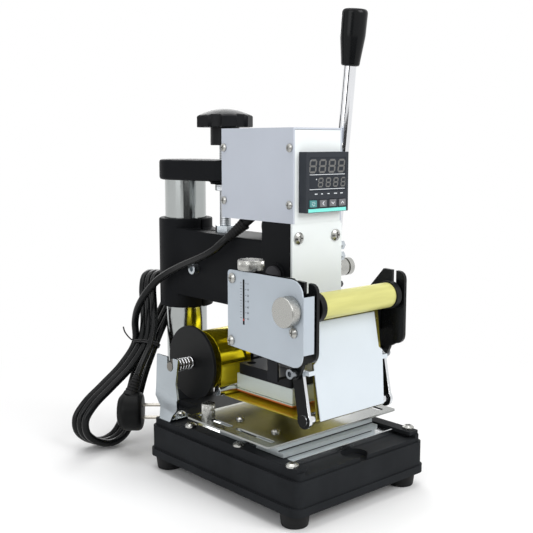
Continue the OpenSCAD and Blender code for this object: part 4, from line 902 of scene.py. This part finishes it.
def star_rings():
    """The knob's rings, from the stem's foot up the lobes' walls and over the dome."""
    n = LOBES * LOBE_STEPS
    outline = [star_radius(k) for k in range(n)]
    rings = [[(STEM_R - STAR_EDGE, STEM_LOW)] * n]
    rings += [[(STEM_R, z)] * n for z in (STEM_LOW + STAR_EDGE, STAR_LOW)]
    rings.append([(r - STAR_EDGE, STAR_LOW) for r in outline])
    rings.append([(r, STAR_LOW + STAR_EDGE) for r in outline])
    rings.append([(r, on_dome(r) - STAR_EDGE) for r in outline])
    for share in (1 - STAR_EDGE / STAR_R,) + DOME_SHARES:
        rings.append([(r * share, on_dome(r * share)) for r in outline])
    return rings


star_mesh = stack("star_lobed", star_rings(), Matrix.Translation(KNOB_FOOT))
star = piece(star_mesh, KNOB_BLACK, "height_screw")
star.modifiers.new("smooth", "NODES").node_group = SMOOTH
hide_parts("star_knob")


# Lever grip: a turned, tapered handle
PINION = mm(0, -13, 182.2)
LEVER_X = 38
LEVER_LEAN = math.radians(6)
GRIP_START = 170
GRIP_SHAPE = [(0, 0), (7.6, 0), (7.9, 4), (10.4, 24), (10.75, 43), (9.4, 45.2), (0, 46)]
GRIP_ROUND = 2.2
GRIP_STEPS = 48
lever_way = Vector((0, -math.sin(LEVER_LEAN), math.cos(LEVER_LEAN)))
grip_place = along(PINION + mm(LEVER_X, 0, 0) + lever_way * GRIP_START * MM, lever_way)
grip = turned("grip_turned", GRIP_SHAPE, GRIP_ROUND, grip_place, GRIP_STEPS)
piece(grip, PLASTIC_BLACK, "lever")
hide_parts("lever_grip")


# Knurled rims on the thumb screws and the feed knob
KNURL_WALL = 0.5
KNURL_EDGE = 0.3
KNURL_DROP = 0.35
RIDGE_STEPS = 4
RIDGE_TOP = (1, 2)
PLATE_SCREW_XS = (-63.5, 63.5)


def knurl(name, at, axis, radius, length, count, depth, body):
    """A ring of fine ridges round a screw head, in millimetres."""
    n = RIDGE_STEPS * count
    ridges = [depth if k % RIDGE_STEPS in RIDGE_TOP else 0 for k in range(n)]
    levels = [(0, KNURL_DROP), (KNURL_EDGE, 0), (length - KNURL_EDGE, 0), (length, KNURL_DROP)]
    rings = [[(radius + ridge - drop, h) for ridge in ridges] for h, drop in levels]
    rings += [[(radius - KNURL_WALL, h)] * n for h in (length, 0)]
    return piece(stack(name, rings, along(at, axis), closed=True), NICKEL, body)


knurl("thumb_knurl", mm(-59.5, -18.8, 191.2), UP, radius=10.2, length=6.8, count=64, depth=0.3,
      body="adjuster")
knurl("knob_knurl", mm(-68.6, -72.8, 166), LEFT, radius=11.45, length=6, count=72, depth=0.2, body="takeup")
for i, x in enumerate(PLATE_SCREW_XS):
    knurl("plate_knurl_%d" % (i + 1), mm(x, 32, 60.2), UP, radius=5.45, length=11, count=40, depth=0.25,
          body="tray")


# Controller face: figures, lines, lamps, keys
PRINT_AND_SHADE_T = 0.1
PRINT_AND_SHADE_PROUD = 0.06
BEZEL_X = 2.6
FIGURES = 4
FIGURE_LEAN = 0.12
BAR_GAP = 0.6
LINE_LONG = 40
LINE_T = 0.45
LINE_ZS = (263.9, 252.3)
DOT = 0.9
DOTS = ((-18.6, 275), (-12.5, 260.2))
STRIPE_Z = 235.6
STRIPE_LONG = 43
STRIPE_T = 2.8
LAMP_Z = 248.6
LAMP_T = 0.7
LAMPS = ((-13, 3), (-6.5, 2), (1, 2.4), (9, 3.6), (16, 3))
KEY_Z = 241
KEY_PITCH = 11
KEY_XS = [BEZEL_X + KEY_PITCH * (i - 1.5) for i in range(4)]
ARROW = [(-1.6, -0.7), (0, 0.9), (1.6, -0.7), (1.6, 0.1), (0, 1.7), (-1.6, 0.1)]
ARROW_OFF = 0.5
ARROW_SIDE = 0.6
WHEEL_R = 1.7
WHEEL_IN = 1.1
WHEEL_PARTS = 6
WHEEL_PART = 0.5


def on_front(name, outlines, node, finish, body, back=0):
    """Thin printed shapes and painted shadow strips in X and Z, in millimetres, on a node's front face or a
    step behind it.
    """
    front = (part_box(node)[0] - SHIFT).y / MM
    place = facing(mm(0, front + back - PRINT_AND_SHADE_PROUD, 0), RIGHT, UP)
    return piece(slab(name, outlines, -PRINT_AND_SHADE_T, place), finish, body)


def bar(x0, z0, x1, z1, t):
    """A pointed bar of a figure, a little shorter than the way between its ends."""
    a = Vector((x0, z0))
    b = Vector((x1, z1))
    way = (b - a).normalized()
    side = Vector((-way.y, way.x)) * t / 2
    a += way * t * BAR_GAP
    b -= way * t * BAR_GAP
    tip = way * t / 2
    return [a - tip, a + side, b + side, b + tip, b - side, a - side]


def figure_eight(x, z, w, h, t):
    """The seven bars of one figure, leaning a little."""
    xs = (x - w / 2, x + w / 2)
    zs = (z - h / 2, z, z + h / 2)
    bars = [bar(xs[0], level, xs[1], level, t) for level in zs]
    bars += [bar(side, zs[i], side, zs[i + 1], t) for side in xs for i in (0, 1)]
    return [[(p.x + FIGURE_LEAN * (p.y - z), p.y) for p in outline] for outline in bars]


def figure_row(x, z, pitch, w, h, t):
    """The bars of a row of figures round a middle."""
    return [o for i in range(FIGURES) for o in figure_eight(x + pitch * (i - 1.5), z, w, h, t)]


def arrow(x, z, turn):
    """A small outlined arrow head."""
    c = math.cos(turn)
    s = math.sin(turn)
    return [(x + c * u - s * v, z + s * u + c * v) for u, v in ARROW]


def wheel(x, z):
    """A ring in parts."""
    parts = []
    for a in around(WHEEL_PARTS):
        spots = [(WHEEL_R, a), (WHEEL_R, a + WHEEL_PART), (WHEEL_IN, a + WHEEL_PART), (WHEEL_IN, a)]
        parts.append([(x + r * math.cos(b), z + r * math.sin(b)) for r, b in spots])
    return parts


upper = figure_row(BEZEL_X - 0.3, 270.6, pitch=10.7, w=6.6, h=9.4, t=1.5)
lower = figure_row(BEZEL_X + 5.2, 257.6, pitch=8.6, w=4.6, h=6.6, t=1.1)
on_front("figures_upper", upper, "controller_window", SEGMENT, "arm")
on_front("figures_lower", lower, "controller_window", SEGMENT, "arm")
lines = [rect(BEZEL_X, z, LINE_LONG, LINE_T) for z in LINE_ZS]
lines += [rect(BEZEL_X + x, z, DOT, DOT) for x, z in DOTS]
on_front("face_lines", lines, "controller_window", MARK, "arm")
lamps = [rect(BEZEL_X + x, LAMP_Z, w, LAMP_T) for x, w in LAMPS]
on_front("face_lamps", lamps, "controller_case", MARK, "arm")
on_front("face_stripe", [rect(BEZEL_X, STRIPE_Z, STRIPE_LONG, STRIPE_T)], "controller_case", TEAL, "arm")
on_front("key_mark_1", wheel(KEY_XS[0], KEY_Z), "key_1", MARK, "key_left")
on_front("key_mark_2", [arrow(KEY_XS[1] + ARROW_SIDE, KEY_Z, math.pi / 2)], "key_2", MARK, "key_mid_left")
on_front("key_mark_3", [arrow(KEY_XS[2], KEY_Z + ARROW_OFF, math.pi)], "key_3", MARK, "key_mid_right")
on_front("key_mark_4", [arrow(KEY_XS[3], KEY_Z - ARROW_OFF, 0)], "key_4", MARK, "key_right")


# Feed plate scale beside its slot
SLOT_Y = -18.8
PLATE_X = -67
SCALE_PROUD = 0.05
SCALE_TOP = 180.5
SCALE_STEP = 4.6
SCALE_MARKS = 7
TICK_T = 0.35
TICK_DEPTH = 0.06
LONG_TICK = 1.8
SHORT_TICK = 1.0
OUTER_TICK = 1.2
TICK_OFF = 3.2
OUTER_OFF = 2.6
FIGURE_OFF = 5.2
FIGURE_PROUD = 0.04
FIGURE_SIZE = 2.1 * MM
LINER_T = 0.12
LINER_OFF = 0.93
LINER_WIDE = 1.9
LINER_TALL = 35.8
LINER_ENDS = (147.75, 183.45)
LINER_DEPTH = 2.2


def mark_z(i):
    """Height of a mark on the scale, counted from its top."""
    return SCALE_TOP - SCALE_STEP * i


slot_x = -SLOT_Y
plate_place = facing(mm(PLATE_X - SCALE_PROUD, 0, 0), TO_FRONT, UP)
ticks = [rect(slot_x - TICK_OFF, mark_z(i / 2), SHORT_TICK if i % 2 else LONG_TICK, TICK_T)
         for i in range(2 * SCALE_MARKS - 1)]
ticks += [rect(slot_x + OUTER_OFF, mark_z(i), OUTER_TICK, TICK_T) for i in range(SCALE_MARKS)]
slot_walls = [rect(slot_x + side * LINER_OFF, sum(LINER_ENDS) / 2, LINER_T, LINER_TALL) for side in (-1, 1)]
slot_walls += [rect(slot_x, z, LINER_WIDE, LINER_T) for z in LINER_ENDS]
piece(slab("slot_liner", slot_walls, -LINER_DEPTH, plate_place), PRINT_AND_SHADE_BLACK, "arm")
piece(slab("scale_ticks", ticks, -TICK_DEPTH, plate_place), PRINT_AND_SHADE_BLACK, "arm")
for i in range(SCALE_MARKS):
    at = mm(PLATE_X - FIGURE_PROUD, SLOT_Y - FIGURE_OFF, mark_z(i))
    figure_place = facing(at, TO_FRONT, UP)
    figures = words("scale_figure_%d" % i, str(10 * i), FIGURE_SIZE, figure_place, TICK_DEPTH * MM)
    piece(figures, PRINT_AND_SHADE_BLACK, "arm")


# Bearing plate on the neck's right side, with its nuts
NECK_SIDE = 27.5
SIDE_PLATE = rect(-29, 193, 6, 60)
SIDE_PLATE_T = 1.5
NUT_X = NECK_SIDE + 1.4
NUT_Y = -29
NUT_ZS = (204, 195)
BOLT_Z = 171
CHAMFER_R = 0.9
CHAMFER_H = 0.12


def hexagon(name, at, axis, across, height, finish, body):
    """A chamfered hexagon nut or bolt head, in millimetres."""
    r = across / math.sqrt(3)
    rows = [(r * CHAMFER_R, 0), (r, CHAMFER_H), (r, 1 - CHAMFER_H), (r * CHAMFER_R, 1)]
    rings = [[(radius, h * height)] * 6 for radius, h in rows]
    return piece(stack(name, rings, along(at, axis), smooth=False), finish, body)


side_place = facing(mm(NECK_SIDE, 0, 0), TO_BACK, UP)
piece(slab("bearing_plate", [SIDE_PLATE], SIDE_PLATE_T, side_place), COVER_WHITE, "arm")
for i, z in enumerate(NUT_ZS):
    hexagon("side_nut_%d" % (i + 1), mm(NUT_X, NUT_Y, z), RIGHT, across=7, height=4.5, finish=ZINC,
            body="arm")
hexagon("side_bolt", mm(NUT_X, NUT_Y, BOLT_Z), RIGHT, across=5, height=3.5, finish=DARK_STEEL, body="arm")


# Painted shadow: dark strips along the front rail, above its foot and behind its ledge, where shade falls
# in its grooves; in millimetres: how far behind the rail's front, bottom, top, and distance from the rail's
# ends
RAIL_PAINTED_SHADOWS = {"rail_painted_shadow_low": (1, 2.7, 4, 6), "rail_painted_shadow_high": (6, 7.5, 8.4, 0.3)}
rail_low, rail_high = (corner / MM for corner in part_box("bed_rails"))
rail_mid = (rail_low.x + rail_high.x) / 2
for name, (back, bottom, top, end) in RAIL_PAINTED_SHADOWS.items():
    shadow_strip = rect(rail_mid, rail_low.z + (bottom + top) / 2, rail_high.x - rail_low.x - 2 * end, top - bottom)
    on_front(name, [shadow_strip], "bed_rails", PRINT_AND_SHADE_BLACK, "tray", back)


# Heater cable: a steel-braided sleeve from the box down to the arm
CABLE = [mm(5, 36, 226.6), mm(5, 36, 222), mm(4.6, 36.6, 217), mm(5, 36, 212), mm(5, 36, 208.6)]
CABLE_R = 3.4 * MM
CABLE_STEPS = 8
CABLE_SIDES = 20
cable_line = smooth_line(CABLE, CABLE_STEPS)
sleeve = piece(sweep("heater_sleeve", cable_line, CABLE_R, CABLE_SIDES), BRAID, "arm")
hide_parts("heater_lead")


# Floor and light
FLOOR_SIZE = 8
FLOOR_DROP = 0.0002
FLOOR_WHITE = (0.9, 0.9, 0.9, 1)
FADE_START = 0.17
FADE_END = 0.5
WORLD_WHITE = (1, 1, 1, 1)
WORLD_LIGHT = 0.42
CARD_AIM = mm(0, 20, 200)
CARD_T = 2


def seen_rays(tree):
    """One for rays from the camera, from reflections and through glass, and otherwise zero."""
    path = tree.nodes.new("ShaderNodeLightPath")
    seen = add_math(tree, "MAXIMUM", path.outputs["Is Camera Ray"], path.outputs["Is Glossy Ray"])
    return add_math(tree, "MAXIMUM", seen, path.outputs["Is Transmission Ray"])


def studio_floor():
    """A pale floor that fades to white away from the object and keeps its shadow near it."""
    corners = [(x, y, 0) for x, y in rect(0, 0, FLOOR_SIZE, FLOOR_SIZE)]
    floor = add_mesh("floor", corners, [(0, 1, 2, 3)], smooth=False)
    floor.location.z = -FLOOR_DROP
    f = Finish("studio_floor")
    f.set("Base Color", FLOOR_WHITE)
    f.set("Roughness", 0.9)
    f.set("Specular IOR Level", 0.1)
    tree = f.tree
    glow = tree.nodes.new("ShaderNodeEmission")
    far = tree.nodes.new("ShaderNodeVectorMath")
    far.operation = "LENGTH"
    fade = tree.nodes.new("ShaderNodeMapRange")
    fade.interpolation_type = "SMOOTHSTEP"
    fade.inputs["From Min"].default_value = FADE_START
    fade.inputs["From Max"].default_value = FADE_END
    mix = tree.nodes.new("ShaderNodeMixShader")
    link = tree.links.new
    link(f.coords, far.inputs[0])
    link(far.outputs["Value"], fade.inputs["Value"])
    link(add_math(tree, "MULTIPLY", fade.outputs["Result"], seen_rays(tree)), mix.inputs["Fac"])
    link(f.shader.outputs["BSDF"], mix.inputs[1])
    link(glow.outputs["Emission"], mix.inputs[2])
    link(mix.outputs["Shader"], tree.nodes["Material Output"].inputs["Surface"])
    dress(floor, f)


def studio_world():
    """White to the camera and in reflections, softer as a light."""
    world = bpy.data.worlds.new("studio")
    bpy.context.scene.world = world
    world.use_nodes = True
    tree = world.node_tree
    back = tree.nodes["Background"]
    back.inputs["Color"].default_value = WORLD_WHITE
    level = tree.nodes.new("ShaderNodeMapRange")
    level.inputs["To Min"].default_value = WORLD_LIGHT
    level.inputs["To Max"].default_value = 1.0
    tree.links.new(seen_rays(tree), level.inputs["Value"])
    tree.links.new(level.outputs["Result"], back.inputs["Strength"])


def lamp(name, at, target, size, power, color=(1, 1, 1)):
    """A soft square lamp aimed at a point."""
    light = bpy.data.lights.new(name, "AREA")
    light.size = size
    light.energy = power
    light.color = color
    obj = add_object(name, light)
    obj.location = Vector(at) + SHIFT
    obj.rotation_euler = (Vector(target) - Vector(at)).to_track_quat("-Z", "Y").to_euler()


def dark_card(name, at, width, height):
    """A dark card that only reflections see, so that bright metal has contrast."""
    card = slab(name, [rect(0, 0, width, height)], CARD_T, along(at, CARD_AIM - at))
    dress(card, PRINT_AND_SHADE_BLACK)
    card.visible_camera = False
    card.visible_diffuse = False
    card.visible_shadow = False
    card.visible_transmission = False


studio_floor()
studio_world()
lamp("key", at=(0.25, -1.3, 1.05), target=(0, 0, 0.16), size=0.9, power=17)
lamp("fill", at=(-1.4, -0.25, 0.7), target=(0, 0, 0.16), size=1.0, power=6, color=(0.97, 0.98, 1))
lamp("top", at=(-0.1, 0.1, 1.5), target=(0, 0, 0.1), size=1.2, power=9)
lamp("rim", at=(0.7, 1.1, 0.9), target=(0, 0.05, 0.2), size=0.8, power=7)
dark_card("card_left", at=mm(-930, -550, 345), width=450, height=280)
dark_card("card_back", at=mm(-550, 1000, 430), width=400, height=360)
dark_card("card_front", at=mm(-230, -450, 117), width=660, height=246)

bpy.context.scene.view_settings.view_transform = "Standard"
